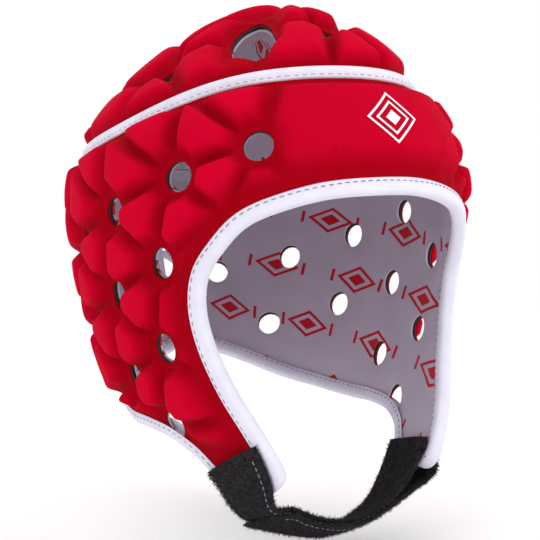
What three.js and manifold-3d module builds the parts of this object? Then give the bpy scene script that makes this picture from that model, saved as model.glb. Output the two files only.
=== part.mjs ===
// Rugby scrum cap in millimetres, +Z up, its face opening towards -Y.
// The wearer's left is +X. The origin is inside the crown, where the top of the head sits.
import * as THREE from 'three';
import { mergeVertices } from 'three/addons/utils/BufferGeometryUtils.js';
import Module from 'manifold-3d';

const kernel = await Module();
kernel.setup();

// Shell, measured at the bottom of the grooves between the blocks
const halfWidth = 88;
const frontReach = 104;
const backReach = 115;
const crownHeight = 79;
const bandDepth = 138;

// Thicknesses
const grooveFoam = 4;
const blockRise = 7;
const padRise = 5;
const liningThickness = 1;
const tapeThickness = 1;
const strapThickness = 2.2;
const gap = 0.3;

// Vents: six-sided, across their corners; the two large ones are oval, along the way to the seam
const ventDiameter = 14.4;
const largeVentWidth = 21;
const largeVentLength = 57;

// Seam between the crown and the band
const seamFront = 39;
const seamBack = 14;
const seamTurnAngle = 75;
const seamTurnSpread = 14;
const seamTapeWidth = 6.5;
const seamTapeRise = 1.8;
const tapeShoulder = 0.6;
const innerTapeWidth = 13;

// Edge binding and nape gap
const faceBindingWidth = 8.5;
const neckBindingWidth = 6.5;
const napeGapHalfWidth = 5;
const napeGapTop = 18;
const napeCornerRadius = 11;

// Chin straps and lace
const strapPadTop = 118;
const strapDrop = 161;
const laceWidth = 4;
const laceThickness = 1.4;
const laceCrossings = 3;
const laceReach = 9;

// Facets
const blockInset = 0.76;
const blockShoulder = 0.84;
const flatMargin = 3;
const edgeFade = 9;
const strapFadeDown = 8;
const strapFadeUp = 6;
const curveSamples = 60;
const pathSamples = 300;
const probeAngle = 0.1;
const probeRow = 0.01;
const seamStations = 36;
const faceStations = 38;
const neckStations = 22;
const keeperPoints = 16;

// Cutting: how far cuts reach past the edge, off the face and round the nape
const edgeTrim = 0.1;
const keeperReach = 2;
const beyondEdge = 15;
const beyondNape = 4;
const napeCutReach = 3;
const endGapShare = 0.05;

// The widest level of the shell lies this far from the origin, which touches the crown lining.
const lift = grooveFoam + liningThickness + 2 * gap - crownHeight;

// Sections from the top down: height as a share of crownHeight above the widest level and of
// bandDepth below it, then shares of halfWidth, frontReach and backReach.
const sections = [
  { height: 1.0, width: 0, front: 0, back: 0 },
  { height: 0.955, width: 0.16, front: 0.25, back: 0.35 },
  { height: 0.86, width: 0.33, front: 0.45, back: 0.56 },
  { height: 0.72, width: 0.5, front: 0.635, back: 0.745 },
  { height: 0.54, width: 0.675, front: 0.79, back: 0.88 },
  { height: 0.34, width: 0.83, front: 0.91, back: 0.955 },
  { height: 0.13, width: 0.955, front: 0.98, back: 0.993 },
  { height: -0.08, width: 1.0, front: 1.025, back: 0.995 },
  { height: -0.22, width: 0.985, front: 1.08, back: 0.97 },
  { height: -0.36, width: 0.957, front: 1.13, back: 0.935 },
  { height: -0.5, width: 0.917, front: 1.15, back: 0.875 },
  { height: -0.64, width: 0.868, front: 1.15, back: 0.79 },
  { height: -0.78, width: 0.8, front: 1.15, back: 0.69 },
  { height: -0.9, width: 0.72, front: 1.15, back: 0.59 },
  { height: -1.0, width: 0.63, front: 1.15, back: 0.5 },
  { height: -1.12, width: 0.5, front: 1.15, back: 0.4 },
];

// Groove crossings of the band, from the front round to the nape: angle from the face and
// height as a share of crownHeight or bandDepth. A null height is on the crown seam. Each row
// below the seam has round vents at the crossings from the first to the last of bandVents.
const bandNodes = [
  [[36, null], [64, null], [89, null], [111, null], [134, null], [157, null], [180, null]],
  [[38.5, 0.1], [60.5, -0.025], [84.5, -0.12], [106.5, -0.205], [131, -0.29], [160, -0.35], [180, -0.37]],
  [[48, -0.155], [69, -0.295], [88.5, -0.4], [111.5, -0.49], [141, -0.575], [166, -0.63], [180, -0.65]],
  [[50, -0.46], [73.5, -0.57], [89.5, -0.68], [114, -0.78], [146, -0.87], [168, -0.9], [180, -0.92]],
  [[50, -0.76], [78.5, -0.83], [97, -0.98], [122, -1.03]],
  [[50, -1.1], [82, -1.11]],
];
const bandVents = [null, [0, 5], [1, 4], [1, 2], [1, 1], null];
const padNodes = [
  [[0, null], [18, null]],
  [[0, 0.1], [19, 0.1]],
  [[0, -0.25], [21, -0.25]],
];

// Groove crossings of the crown on the wearer's left: share of the way from its top to the seam,
// angle from the face, and the width and length of the vent there.
const crownNodes = {
  seamBrow: [1, 14],
  seamTemple: [1, 40],
  seamSide: [1, 66],
  seamEar: [1, 91],
  seamBehindEar: [1, 115],
  seamRear: [1, 138],
  seamNearNape: [1, 160],
  seamNape: [1, 180],
  brow: [0.58, 0, ventDiameter, ventDiameter],
  temple: [0.635, 49, largeVentWidth, largeVentLength],
  ear: [0.72, 88, ventDiameter, ventDiameter],
  behindEar: [0.78, 120, ventDiameter, ventDiameter],
  rear: [0.72, 152, ventDiameter, ventDiameter],
  topFront: [0.22, 0],
  topTemple: [0.24, 52],
  topSide: [0.36, 100, ventDiameter, ventDiameter],
  topRear: [0.34, 148],
};
// Blocks of the crown by their corners: on one side, and across the middle, where the corners
// that start with a dash are on the other side.
const crownSideBlocks = [
  ['brow', 'seamBrow', 'seamTemple', 'temple'],
  ['temple', 'seamTemple', 'seamSide', 'ear'],
  ['ear', 'seamSide', 'seamEar'],
  ['ear', 'seamEar', 'seamBehindEar', 'behindEar'],
  ['behindEar', 'seamBehindEar', 'seamRear'],
  ['behindEar', 'seamRear', 'seamNearNape', 'rear'],
  ['rear', 'seamNearNape', 'seamNape'],
  ['topFront', 'brow', 'temple', 'topTemple'],
  ['topTemple', 'temple', 'ear'],
  ['topTemple', 'ear', 'topSide'],
  ['topSide', 'ear', 'behindEar'],
  ['topSide', 'behindEar', 'rear', 'topRear'],
];
const crownMiddleBlocks = [
  ['brow', 'seamBrow', '-seamBrow'],
  ['rear', 'seamNape', '-rear'],
  ['topRear', 'rear', '-rear', '-topRear'],
  ['topFront', 'topTemple', 'topSide', 'topRear', '-topRear', '-topSide', '-topTemple'],
];

// Edge of the cap seen from its side, from the middle of the brow to the tab and along the
// neck to the back: forward as a share of frontReach, or of backReach behind the middle, and
// down as a share of bandDepth.
const faceOutline = [
  [1.2, 0.083], [1.055, 0.088], [0.895, 0.133], [0.777, 0.184], [0.687, 0.259], [0.605, 0.345], [0.575, 0.445],
  [0.59, 0.565], [0.635, 0.686], [0.7, 0.802], [0.741, 0.91], [0.745, 0.97], [0.69, 1.01], [0.58, 1.02],
];
const neckOutline = [
  [0.58, 1.02], [0.46, 1.015], [0.385, 0.985], [0.315, 0.925], [0.2, 0.877], [0.05, 0.857],
  [-0.14, 0.845], [-0.36, 0.815], [-0.54, 0.77], [-0.7, 0.7], [-0.86, 0.6],
];

// Chin straps: rows on the ear tabs and rows that hang free. On a tab a row gives the drop and
// the forward place of its front and back edge; a free row its place across and its drop.
const strapOnTab = [
  { frontDrop: 0, backDrop: 0.75, frontPlace: 0.71, backPlace: 0.385 },
  { frontDrop: 0.45, backDrop: 0.9, frontPlace: 0.72, backPlace: 0.38 },
  { frontDrop: 0.85, backDrop: 1.02, frontPlace: 0.715, backPlace: 0.385 },
];
const strapFree = [
  { across: -0.86, frontDrop: 0.36, backDrop: 0.76, front: 0.69, back: 0.39 },
  { across: -0.66, frontDrop: 0.43, backDrop: 0.94, front: 0.665, back: 0.395 },
  { across: -0.34, frontDrop: 0.73, backDrop: 1.14, front: 0.65, back: 0.4 },
  { across: 0.04, frontDrop: 0.88, backDrop: 1.3, front: 0.64, back: 0.4 },
  { across: 0.38, frontDrop: 0.72, backDrop: 1.12, front: 0.64, back: 0.395 },
  { across: 0.63, frontDrop: 0.38, backDrop: 0.82, front: 0.645, back: 0.385 },
];
const strapEnd = [
  { frontDrop: 0.93, backDrop: 1.03, frontPlace: 0.715, backPlace: 0.385 },
  { frontDrop: 0.5, backDrop: 0.88, frontPlace: 0.72, backPlace: 0.38 },
];
const strapRise = [
  { across: 0.78, frontDrop: 0.45, backDrop: 0.88, front: 0.66, back: 0.37 },
  { across: 0.97, frontDrop: 0.2, backDrop: 0.4, front: 0.68, back: 0.37 },
];
// Share of halfWidth that the free rows reach, and the part of it where the straps lie together
const strapSpread = 0.55;
const lapStart = -0.46;
const lapEnd = 0.28;
const strapTracks = [0, 0.33, 0.67, 1];
const innerStrapSteps = 26;
const outerStrapSteps = 24;
const lapStride = 3;

const vector = (x, y, z) => new THREE.Vector3(x, y, z);
const radians = THREE.MathUtils.degToRad;
const degrees = THREE.MathUtils.radToDeg;
const smooth = (value, low, high) => THREE.MathUtils.smoothstep(value, low, high);

function levelOf(share) {
  return share * (share > 0 ? crownHeight : bandDepth);
}

// Smooth curve through the section table; the row above the top mirrors the one below it.
function sectionAt(row) {
  const last = sections.length - 1;
  const start = Math.min(Math.max(Math.floor(row), 0), last - 1);
  const t = row - start;
  const rowAt = (index) => {
    if (index < 0) {
      const mirrored = sections[-index];
      return [levelOf(mirrored.height), -mirrored.width, -mirrored.front, -mirrored.back];
    }
    const kept = sections[Math.min(index, last)];
    return [levelOf(kept.height), kept.width, kept.front, kept.back];
  };
  const [a, b, c, d] = [start - 1, start, start + 1, start + 2].map(rowAt);
  const blended = a.map((_, i) => 0.5 * (2 * b[i] + (c[i] - a[i]) * t
    + (2 * a[i] - 5 * b[i] + 4 * c[i] - d[i]) * t * t
    + (3 * b[i] - a[i] - 3 * c[i] + d[i]) * t * t * t));
  return { level: blended[0], width: halfWidth * blended[1], front: frontReach * blended[2], back: backReach * blended[3] };
}

function rowAtLevel(level) {
  let low = 0;
  let high = sections.length - 1;
  for (let step = 0; step < 34; step += 1) {
    const middle = (low + high) / 2;
    if (sectionAt(middle).level > level) low = middle;
    else high = middle;
  }
  return (low + high) / 2;
}

function shellBase(angle, row) {
  const section = sectionAt(row);
  const turn = radians(angle);
  const reach = Math.cos(turn) > 0 ? section.front : section.back;
  return vector(section.width * Math.sin(turn), -reach * Math.cos(turn), section.level + lift);
}

function shellNormal(angle, row) {
  const safeRow = Math.max(row, 0.03);
  const alongAngle = shellBase(angle + 0.2, safeRow).sub(shellBase(angle - 0.2, safeRow));
  const alongRow = shellBase(angle, safeRow + 0.01).sub(shellBase(angle, safeRow - 0.01));
  return alongRow.cross(alongAngle).normalize();
}

function shellPoint(angle, row, offset) {
  return shellBase(angle, row).addScaledVector(shellNormal(angle, row), offset);
}

function seamLevel(angle) {
  const turned = 1 / (1 + Math.exp((Math.abs(angle) - seamTurnAngle) / seamTurnSpread));
  return seamBack + (seamFront - seamBack) * turned;
}

// Angle on the shell of a point with a given forward place, and of one a given way across.
function angleAtPlace(place, row) {
  const section = sectionAt(row);
  const reach = place > 0 ? section.front : section.back;
  return degrees(Math.acos(THREE.MathUtils.clamp(place / reach, -1, 1)));
}

function angleAtBack(across, row) {
  return 180 - degrees(Math.asin(across / sectionAt(row).width));
}

// Charts: the band by angle and share of the way down, the crown by a flat disc. Both stop
// short of the seam by a margin that leaves room for the seam tape.
const bandEnd = sections[sections.length - 1].height * bandDepth;

function seamRow(angle, margin) {
  const row = rowAtLevel(seamLevel(angle));
  const perRow = shellBase(angle, row + 0.05).distanceTo(shellBase(angle, row - 0.05)) / 0.1;
  return row + margin / perRow;
}

function bandChart(margin) {
  const lastRow = sections.length - 1;
  return (point, offset) => {
    const top = sectionAt(seamRow(point[0], margin)).level;
    const level = top + point[1] * (bandEnd - top);
    return shellPoint(point[0], Math.min(rowAtLevel(level), lastRow), offset);
  };
}

function crownChart(margin) {
  return (point, offset) => {
    const angle = degrees(Math.atan2(point[0], point[1]));
    return shellPoint(angle, Math.hypot(point[0], point[1]) * seamRow(angle, -margin), offset);
  };
}

// Nodes of the groove lattice: a place on the chart and the radius of the vent there
function bandNode([angle, height], side, vent = 0) {
  const top = seamLevel(angle);
  const down = height === null ? 0 : (top - levelOf(height)) / (top - bandEnd);
  return { at: [side * angle, down], ventWidth: vent, ventLength: vent };
}

function crownNode(name) {
  const isOtherSide = name.startsWith('-');
  const [share, angle, ventWidth = 0, ventLength = 0] = crownNodes[isOtherSide ? name.slice(1) : name];
  const across = share * Math.sin(radians(angle));
  return { at: [isOtherSide ? -across : across, share * Math.cos(radians(angle))], ventWidth, ventLength };
}

function bandCells() {
  const cells = [];
  for (const side of [-1, 1]) {
    const rows = bandNodes.map((row, index) => row.map((node, column) => {
      const vents = bandVents[index];
      const isVent = vents !== null && column >= vents[0] && column <= vents[1];
      return bandNode(node, side, isVent ? ventDiameter : 0);
    }));
    for (let index = 0; index < rows.length - 1; index += 1) {
      const [upper, lower] = [rows[index], rows[index + 1]];
      for (let column = 0; column < lower.length; column += 1) {
        if (column + 1 < upper.length) {
          cells.push({ nodes: [upper[column], upper[column + 1], lower[column]], kind: 'block' });
        }
        if (column + 1 < lower.length) {
          cells.push({ nodes: [upper[column + 1], lower[column], lower[column + 1]], kind: 'block' });
        }
      }
    }
    const pad = padNodes.map((row) => row.map((node) => bandNode(node, side)));
    pad[0].push(rows[0][0]);
    pad[1].push(rows[1][0]);
    for (let index = 0; index < pad.length - 1; index += 1) {
      for (let column = 0; column < pad[index].length - 1; column += 1) {
        const [a, b] = [pad[index][column], pad[index][column + 1]];
        const [c, d] = [pad[index + 1][column], pad[index + 1][column + 1]];
        cells.push({ nodes: [a, b, c], kind: 'pad' });
        if (d) cells.push({ nodes: [b, c, d], kind: 'pad' });
      }
    }
    const padCorner = pad[2][1];
    cells.push({ nodes: [rows[1][0], padCorner, rows[2][0]], kind: 'block' });
    cells.push({ nodes: [padCorner, rows[2][0], rows[3][0]], kind: 'plain' });
  }
  return cells;
}

function crownCells() {
  const otherSide = crownSideBlocks.map((names) => names.map((name) => `-${name}`));
  return [...crownSideBlocks, ...otherSide, ...crownMiddleBlocks].map((names) => {
    return { nodes: names.map(crownNode), kind: 'block' };
  });
}

// Edge outlines in the side view, as closed-form curves sampled to points
function outlineCurve(table) {
  const points = table.map(([forward, down]) => {
    const reach = forward > 0 ? frontReach : backReach;
    return vector(0, -forward * reach, -down * bandDepth + lift);
  });
  return new THREE.CatmullRomCurve3(points, false, 'centripetal');
}
const faceCurve = outlineCurve(faceOutline);
const neckCurve = outlineCurve(neckOutline);
const edgeSamples = [...faceCurve.getSpacedPoints(curveSamples), ...neckCurve.getSpacedPoints(curveSamples)];

function edgeDistance(point) {
  let nearest = Infinity;
  for (const sample of edgeSamples) {
    nearest = Math.min(nearest, Math.hypot(sample.y - point.y, sample.z - point.z));
  }
  if (point.y > 0 && point.z < lift - napeGapTop) {
    nearest = Math.min(nearest, Math.abs(point.x) - napeGapHalfWidth);
  }
  return nearest;
}

// Share of the full rise that the padding has at a point: none at the edges and under the straps
function reliefShare(point) {
  const overStrap = smooth(point.z, lift - strapPadTop - strapFadeDown, lift - strapPadTop + strapFadeUp);
  const nearTab = point.y < 0 ? overStrap : 1;
  return nearTab * smooth(edgeDistance(point), flatMargin, flatMargin + edgeFade);
}

// Closed solids from facets
function solidFrom(triangles) {
  const positions = triangles.flatMap((triangle) => triangle.flatMap((point) => point.toArray()));
  const geometry = new THREE.BufferGeometry();
  geometry.setAttribute('position', new THREE.Float32BufferAttribute(positions, 3));
  return toSolid(geometry);
}

function toSolid(geometry) {
  const bare = geometry.index ? geometry.toNonIndexed() : geometry;
  bare.deleteAttribute('normal');
  bare.deleteAttribute('uv');
  const merged = mergeVertices(bare, 0.001);
  const kept = [];
  const index = merged.index.array;
  for (let i = 0; i < index.length; i += 3) {
    const [a, b, c] = [index[i], index[i + 1], index[i + 2]];
    if (a !== b && b !== c && c !== a) kept.push(a, b, c);
  }
  return new kernel.Manifold(new kernel.Mesh({
    numProp: 3,
    vertProperties: new Float32Array(merged.attributes.position.array),
    triVerts: new Uint32Array(kept),
  }));
}

function between(from, to, share) {
  return from.map((value, axis) => value + (to[axis] - value) * share);
}

// The same cell with its corners running anticlockwise as seen from outside
function turnedOutward(cell, place) {
  const [a, b, c] = cell.nodes.map((node) => place(node.at, 0));
  const outward = place(cell.nodes[0].at, 1).add(place(cell.nodes[1].at, 1)).sub(a).sub(b);
  const isOutward = b.clone().sub(a).cross(c.clone().sub(a)).dot(outward) > 0;
  return { ...cell, nodes: isOutward ? cell.nodes : [...cell.nodes].reverse() };
}

// How far a vent reaches towards another node: an oval vent is long along the way to the seam
function ventReach(node, other) {
  const [x, y] = [other[0] - node.at[0], other[1] - node.at[1]];
  if (node.ventWidth === node.ventLength) return node.ventWidth / 2;
  const along = (x * node.at[0] + y * node.at[1]) / (Math.hypot(x, y) * Math.hypot(...node.at));
  const across = Math.sqrt(1 - along * along);
  return node.ventWidth * node.ventLength / 2 / Math.hypot(node.ventWidth * along, node.ventLength * across);
}

// A corner of a cell: its node, or the cut that the node's vent makes there
function cornerPoints(nodes, k, place) {
  const node = nodes[k];
  if (node.ventWidth === 0) return [node.at];
  const others = [nodes[(k + nodes.length - 1) % nodes.length].at, nodes[(k + 1) % nodes.length].at];
  const [first, last] = others.map((other) => {
    const length = place(node.at, 0).distanceTo(place(other, 0));
    return between(node.at, other, ventReach(node, other) / length);
  });
  if (node.ventWidth === node.ventLength) return [first, last];
  const bulge = node.at.map((value, axis) => value + (first[axis] + last[axis] - 2 * value) * Math.SQRT1_2);
  return [first, bulge, last];
}

// Sheet over a set of cells: padded with blocks, or plain like cloth. Each vent cuts off the
// corners of the cells round it, and walls close the rims and the free edges.
function sheetSolid(cells, place, outerOffset, innerOffset, padded) {
  const keyOf = (point) => place(point, 0).toArray().map((value) => Math.round(50 * value)).join();
  const sideKey = (cell, k) => [cell.nodes[k].at, cell.nodes[(k + 1) % cell.nodes.length].at].map(keyOf).sort().join('|');
  const users = new Map();
  for (const cell of cells) {
    for (const k of cell.nodes.keys()) {
      const key = sideKey(cell, k);
      users.set(key, [...(users.get(key) ?? []), cell]);
    }
  }
  const isSunk = (key) => users.get(key).length < 2 || users.get(key).some((cell) => cell.kind !== 'pad');
  const sunkNodes = new Set([...users.keys()].filter(isSunk).flatMap((key) => key.split('|')));
  const triangles = [];
  for (const given of cells) {
    const cell = turnedOutward(given, place);
    const count = cell.nodes.length;
    const order = [...cell.nodes.keys()];
    const corners = order.map((k) => cornerPoints(cell.nodes, k, place));
    const startOf = (k) => corners[k][corners[k].length - 1];
    const middles = order.map((k) => between(startOf(k), corners[(k + 1) % count][0], 0.5));
    const centre = [0, 1].map((axis) => cell.nodes.reduce((sum, node) => sum + node.at[axis], 0) / count);
    const layer = (heightOf, isOuter) => {
      const add = (...points) => triangles.push(isOuter ? points : points.reverse());
      const point = (chart, isMiddle, k) => place(chart, heightOf(chart, isMiddle, k));
      const mids = middles.map((chart, k) => point(chart, true, k));
      for (let k = 2; k < count; k += 1) add(mids[0], mids[k - 1], mids[k]);
      for (const k of order) {
        const before = mids[(k + count - 1) % count];
        const rim = corners[k].map((chart) => point(chart, false, k));
        for (let step = 1; step < rim.length; step += 1) add(before, rim[step - 1], rim[step]);
        add(before, rim[rim.length - 1], mids[k]);
      }
    };
    layer(() => innerOffset, false);
    if (!padded || cell.kind === 'plain') layer(() => outerOffset, true);
    if (padded && cell.kind === 'pad') {
      layer((chart, isMiddle, k) => {
        const isLow = isMiddle ? isSunk(sideKey(cell, k)) : sunkNodes.has(keyOf(cell.nodes[k].at));
        return isLow ? outerOffset : outerOffset + padRise * reliefShare(place(chart, 0));
      }, true);
    }
    if (padded && cell.kind === 'block') {
      const top = (chart, share) => {
        const inset = between(centre, chart, blockInset);
        return place(inset, outerOffset + blockRise * share * reliefShare(place(inset, 0)));
      };
      const peak = top(centre, 1);
      const low = (chart) => place(chart, outerOffset);
      const high = (chart) => top(chart, blockShoulder);
      for (const k of order) {
        const [start, end] = [startOf(k), corners[(k + 1) % count][0]];
        triangles.push([low(start), low(middles[k]), high(start)], [low(middles[k]), high(end), high(start)]);
        triangles.push([low(middles[k]), low(end), high(end)], [high(start), high(end), peak]);
        for (let step = 1; step < corners[k].length; step += 1) {
          const [from, to] = [corners[k][step - 1], corners[k][step]];
          triangles.push([low(from), low(to), high(to)], [low(from), high(to), high(from)], [high(from), high(to), peak]);
        }
      }
    }
    const wall = (from, to) => {
      const [a, b] = [place(from, outerOffset), place(to, outerOffset)];
      const [c, d] = [place(to, innerOffset), place(from, innerOffset)];
      triangles.push([b, a, d], [b, d, c]);
    };
    for (const k of order) {
      if (users.get(sideKey(cell, k)).length < 2) {
        wall(startOf(k), middles[k]);
        wall(middles[k], corners[(k + 1) % count][0]);
      }
      for (let step = 1; step < corners[k].length; step += 1) wall(corners[k][step - 1], corners[k][step]);
    }
  }
  return solidFrom(triangles);
}

// Strips that follow an edge of the shell
function stationAt(path, index) {
  const [angle, row] = path[index];
  const before = path[Math.max(index - 1, 0)];
  const after = path[Math.min(index + 1, path.length - 1)];
  const tangent = shellBase(...after).sub(shellBase(...before)).normalize();
  return { angle, row, tangent };
}

function sweepStations(path, closed) {
  return path.map((point, index) => {
    const station = stationAt(path, index);
    if (closed) {
      const last = path.length - 1;
      const before = path[index === 0 ? last : index - 1];
      const after = path[index === last ? 0 : index + 1];
      station.tangent = shellBase(...after).sub(shellBase(...before)).normalize();
    }
    const inward = shellNormal(station.angle, station.row).cross(station.tangent);
    const { angle, row } = station;
    const alongAngle = shellBase(angle + probeAngle, row).sub(shellBase(angle - probeAngle, row)).divideScalar(2 * probeAngle);
    const alongRow = shellBase(angle, row + probeRow).sub(shellBase(angle, row - probeRow)).divideScalar(2 * probeRow);
    const [aa, ar, rr] = [alongAngle.dot(alongAngle), alongAngle.dot(alongRow), alongRow.dot(alongRow)];
    const [ia, ir] = [inward.dot(alongAngle), inward.dot(alongRow)];
    const scale = aa * rr - ar * ar;
    return { ...station, perAngle: (ia * rr - ir * ar) / scale, perRow: (ir * aa - ia * ar) / scale };
  });
}

function stationPoint(station, [inside, offset]) {
  return shellPoint(station.angle + station.perAngle * inside, station.row + station.perRow * inside, offset);
}

function sweptSolid(stations, profile, closed) {
  const rings = stations.map((station) => profile.map((corner) => stationPoint(station, corner)));
  return ringSolid(rings, profile, closed);
}

function ringSolid(rings, profile, closed) {
  const triangles = [];
  const count = rings.length;
  const sides = profile.length;
  for (let i = 0; i < (closed ? count : count - 1); i += 1) {
    const [here, next] = [rings[i], rings[(i + 1) % count]];
    for (let k = 0; k < sides; k += 1) {
      const m = (k + 1) % sides;
      triangles.push([here[k], next[k], next[m]], [here[k], next[m], here[m]]);
    }
  }
  if (!closed) {
    const flat = profile.map(([x, y]) => new THREE.Vector2(x, y));
    const reversed = THREE.ShapeUtils.area(flat) < 0;
    for (const [a, b, c] of THREE.ShapeUtils.triangulateShape(flat, [])) {
      const order = reversed ? [a, c, b] : [a, b, c];
      triangles.push(order.map((k) => rings[0][k]));
      triangles.push([order[0], order[2], order[1]].map((k) => rings[count - 1][k]));
    }
  }
  const solid = solidFrom(triangles);
  return solid.volume() < 0 ? solidFrom(triangles.map(([a, b, c]) => [a, c, b])) : solid;
}

// Paths along the edges, as angle and section row, with even steps
function evenPath(points, count) {
  const lengths = [0];
  for (let i = 1; i < points.length; i += 1) {
    lengths.push(lengths[i - 1] + shellBase(...points[i]).distanceTo(shellBase(...points[i - 1])));
  }
  const total = lengths[lengths.length - 1];
  return Array.from({ length: count + 1 }, (_, step) => {
    const target = total * step / count;
    let i = 1;
    while (i < points.length - 1 && lengths[i] < target) i += 1;
    const t = (target - lengths[i - 1]) / (lengths[i] - lengths[i - 1]);
    return [0, 1].map((axis) => points[i - 1][axis] + (points[i][axis] - points[i - 1][axis]) * t);
  });
}

function edgePoints(curve) {
  return curve.getSpacedPoints(pathSamples).flatMap((point) => {
    const row = rowAtLevel(point.z - lift);
    const section = sectionAt(row);
    const isOnShell = -point.y < section.front && point.y < section.back;
    return isOnShell ? [[angleAtPlace(-point.y, row), row]] : [];
  });
}

const mirrorPath = (path) => path.map(([angle, row]) => [-angle, row]).reverse();
const faceHalf = edgePoints(faceCurve);
const browMiddle = [[0, faceHalf[0][1]]];
const facePath = evenPath([...mirrorPath(faceHalf), ...browMiddle, ...faceHalf], faceStations);

const cornerStart = napeGapHalfWidth + napeCornerRadius;
const neckOnSide = edgePoints(neckCurve).filter(([angle, row]) => angle < angleAtBack(cornerStart, row));
const napeLevel = sectionAt(neckOnSide[neckOnSide.length - 1][1]).level;
const napeOutline = new THREE.CurvePath();
napeOutline.add(new THREE.QuadraticBezierCurve(
  new THREE.Vector2(cornerStart, napeLevel),
  new THREE.Vector2(napeGapHalfWidth, napeLevel),
  new THREE.Vector2(napeGapHalfWidth, napeLevel + napeCornerRadius),
));
napeOutline.add(new THREE.LineCurve(
  new THREE.Vector2(napeGapHalfWidth, napeLevel + napeCornerRadius),
  new THREE.Vector2(napeGapHalfWidth, -napeGapTop - napeGapHalfWidth),
));
napeOutline.add(new THREE.EllipseCurve(0, -napeGapTop - napeGapHalfWidth, napeGapHalfWidth, napeGapHalfWidth, 0, Math.PI / 2));
const napePoints = napeOutline.getPoints(8);
const napePath = napePoints.map((point) => {
  const row = rowAtLevel(point.y);
  return [angleAtBack(Math.max(point.x, 0), row), row];
});
const neckHalf = evenPath([...neckOnSide, ...napePath.slice(1)], neckStations);
const neckPath = [...neckHalf, ...mirrorPath(neckHalf).slice(1)];

// Lining: a cloth a little below the foam
const liningTop = -grooveFoam - 2 * gap;
const liningBottom = liningTop - liningThickness;

// Binding: a folded tape whose two legs hold the edge of the foam and the lining
const legTop = -1.6 * gap;
const legUnder = liningBottom - 5.5 * gap;
function bindingProfile(width) {
  const inside = -edgeTrim - gap;
  const outside = inside - tapeThickness;
  const [top, bottom] = [legTop + tapeThickness, legUnder - tapeThickness];
  return [
    [width, top], [outside, top], [outside, bottom], [width, bottom],
    [width, legUnder], [inside, legUnder], [inside, legTop], [width, legTop],
  ];
}

// How far the cuts along an edge reach out of the shell and into it
const cutAbove = blockRise + 4 * gap;
const cutBelow = liningBottom - 3 * liningThickness;

// Room for a binding: a step in the face of the foam, and all that lies beyond the edge
function foamClearance(width, beyond) {
  const above = legTop - gap;
  return [
    [width + gap, cutAbove], [-beyond, cutAbove], [-beyond, cutBelow],
    [-edgeTrim, cutBelow], [-edgeTrim, above], [width + gap, above],
  ];
}

function liningClearance(width, beyond) {
  return [[-edgeTrim, cutAbove], [-beyond, cutAbove], [-beyond, cutBelow], [-edgeTrim, cutBelow]];
}

const offcutClearance = [
  [-beyondNape / 2, cutAbove], [-beyondEdge, cutAbove], [-beyondEdge, cutBelow], [-beyondNape / 2, cutBelow],
];

const pastCorner = neckHalf[1];
const faceSweep = sweepStations([...mirrorPath([pastCorner]), ...facePath, pastCorner], false);
const neckSweep = sweepStations(neckPath, false);
const neckSides = [-1, 1].map((side) => neckSweep.filter(({ angle, row }) => {
  return side * angle > 0 && side * shellBase(angle, row).x > napeGapHalfWidth + napeCutReach;
}));

// The binding stops just short of the path's ends, where the next one starts
function endsApart(path) {
  const last = path.length - 1;
  const moved = [...path];
  moved[0] = between(path[0], path[1], endGapShare);
  moved[last] = between(path[last], path[last - 1], endGapShare);
  return sweepStations(moved, false);
}

// Seam between the crown and the band: white tape outside, grey tape inside
const seamPath = Array.from({ length: seamStations }, (_, step) => {
  const angle = 360 * step / seamStations;
  const turned = angle > 180 ? angle - 360 : angle;
  return [turned, rowAtLevel(seamLevel(turned))];
});
const seamSweep = sweepStations(seamPath, true);
const seamHalf = seamTapeWidth / 2;
const seamMargin = seamHalf + 3 * gap;
const seamProfile = [
  [seamHalf, -grooveFoam + gap], [seamHalf, gap], [seamHalf * tapeShoulder, seamTapeRise],
  [-seamHalf * tapeShoulder, seamTapeRise], [-seamHalf, gap], [-seamHalf, -grooveFoam + gap],
];
const innerTapeTop = liningBottom - 4 * gap;
const innerTapeProfile = [
  [innerTapeWidth / 2, innerTapeTop], [-innerTapeWidth / 2, innerTapeTop],
  [-innerTapeWidth / 2, innerTapeTop - liningThickness], [innerTapeWidth / 2, innerTapeTop - liningThickness],
];

// Cutters
function outlineBeyond(curve, count) {
  return curve.getSpacedPoints(count).map((point, index) => {
    const along = curve.getTangentAt(index / count);
    return [point.y + keeperReach * along.z, point.z - keeperReach * along.y];
  });
}

function sideKeeper() {
  const shape = new THREE.Shape();
  const face = outlineBeyond(faceCurve, keeperPoints);
  const neck = outlineBeyond(neckCurve, keeperPoints);
  const far = 2 * backReach;
  shape.moveTo(-far, face[0][1]);
  for (const point of [...face, ...neck.slice(1)]) shape.lineTo(...point);
  shape.lineTo(far, neck[neck.length - 1][1]);
  shape.lineTo(far, far);
  shape.lineTo(-far, far);
  const depth = 2 * far;
  const geometry = new THREE.ExtrudeGeometry(shape, { depth, bevelEnabled: false, curveSegments: 1 });
  const turn = new THREE.Matrix4().makeBasis(vector(0, 1, 0), vector(0, 0, 1), vector(1, 0, 0));
  geometry.applyMatrix4(turn);
  geometry.translate(-depth / 2, 0, 0);
  return toSolid(geometry);
}

function napeCutter() {
  const shape = new THREE.Shape();
  const low = -bandDepth;
  shape.moveTo(cornerStart, low + lift);
  for (const point of napePoints) shape.lineTo(point.x, point.y + lift);
  for (const point of [...napePoints].reverse().slice(1)) shape.lineTo(-point.x, point.y + lift);
  shape.lineTo(-cornerStart, low + lift);
  const depth = 2 * backReach;
  const geometry = new THREE.ExtrudeGeometry(shape, { depth, bevelEnabled: false, curveSegments: 1 });
  const turn = new THREE.Matrix4().makeBasis(vector(1, 0, 0), vector(0, 0, 1), vector(0, -1, 0));
  geometry.applyMatrix4(turn);
  geometry.translate(0, depth, 0);
  return toSolid(geometry);
}

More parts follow.
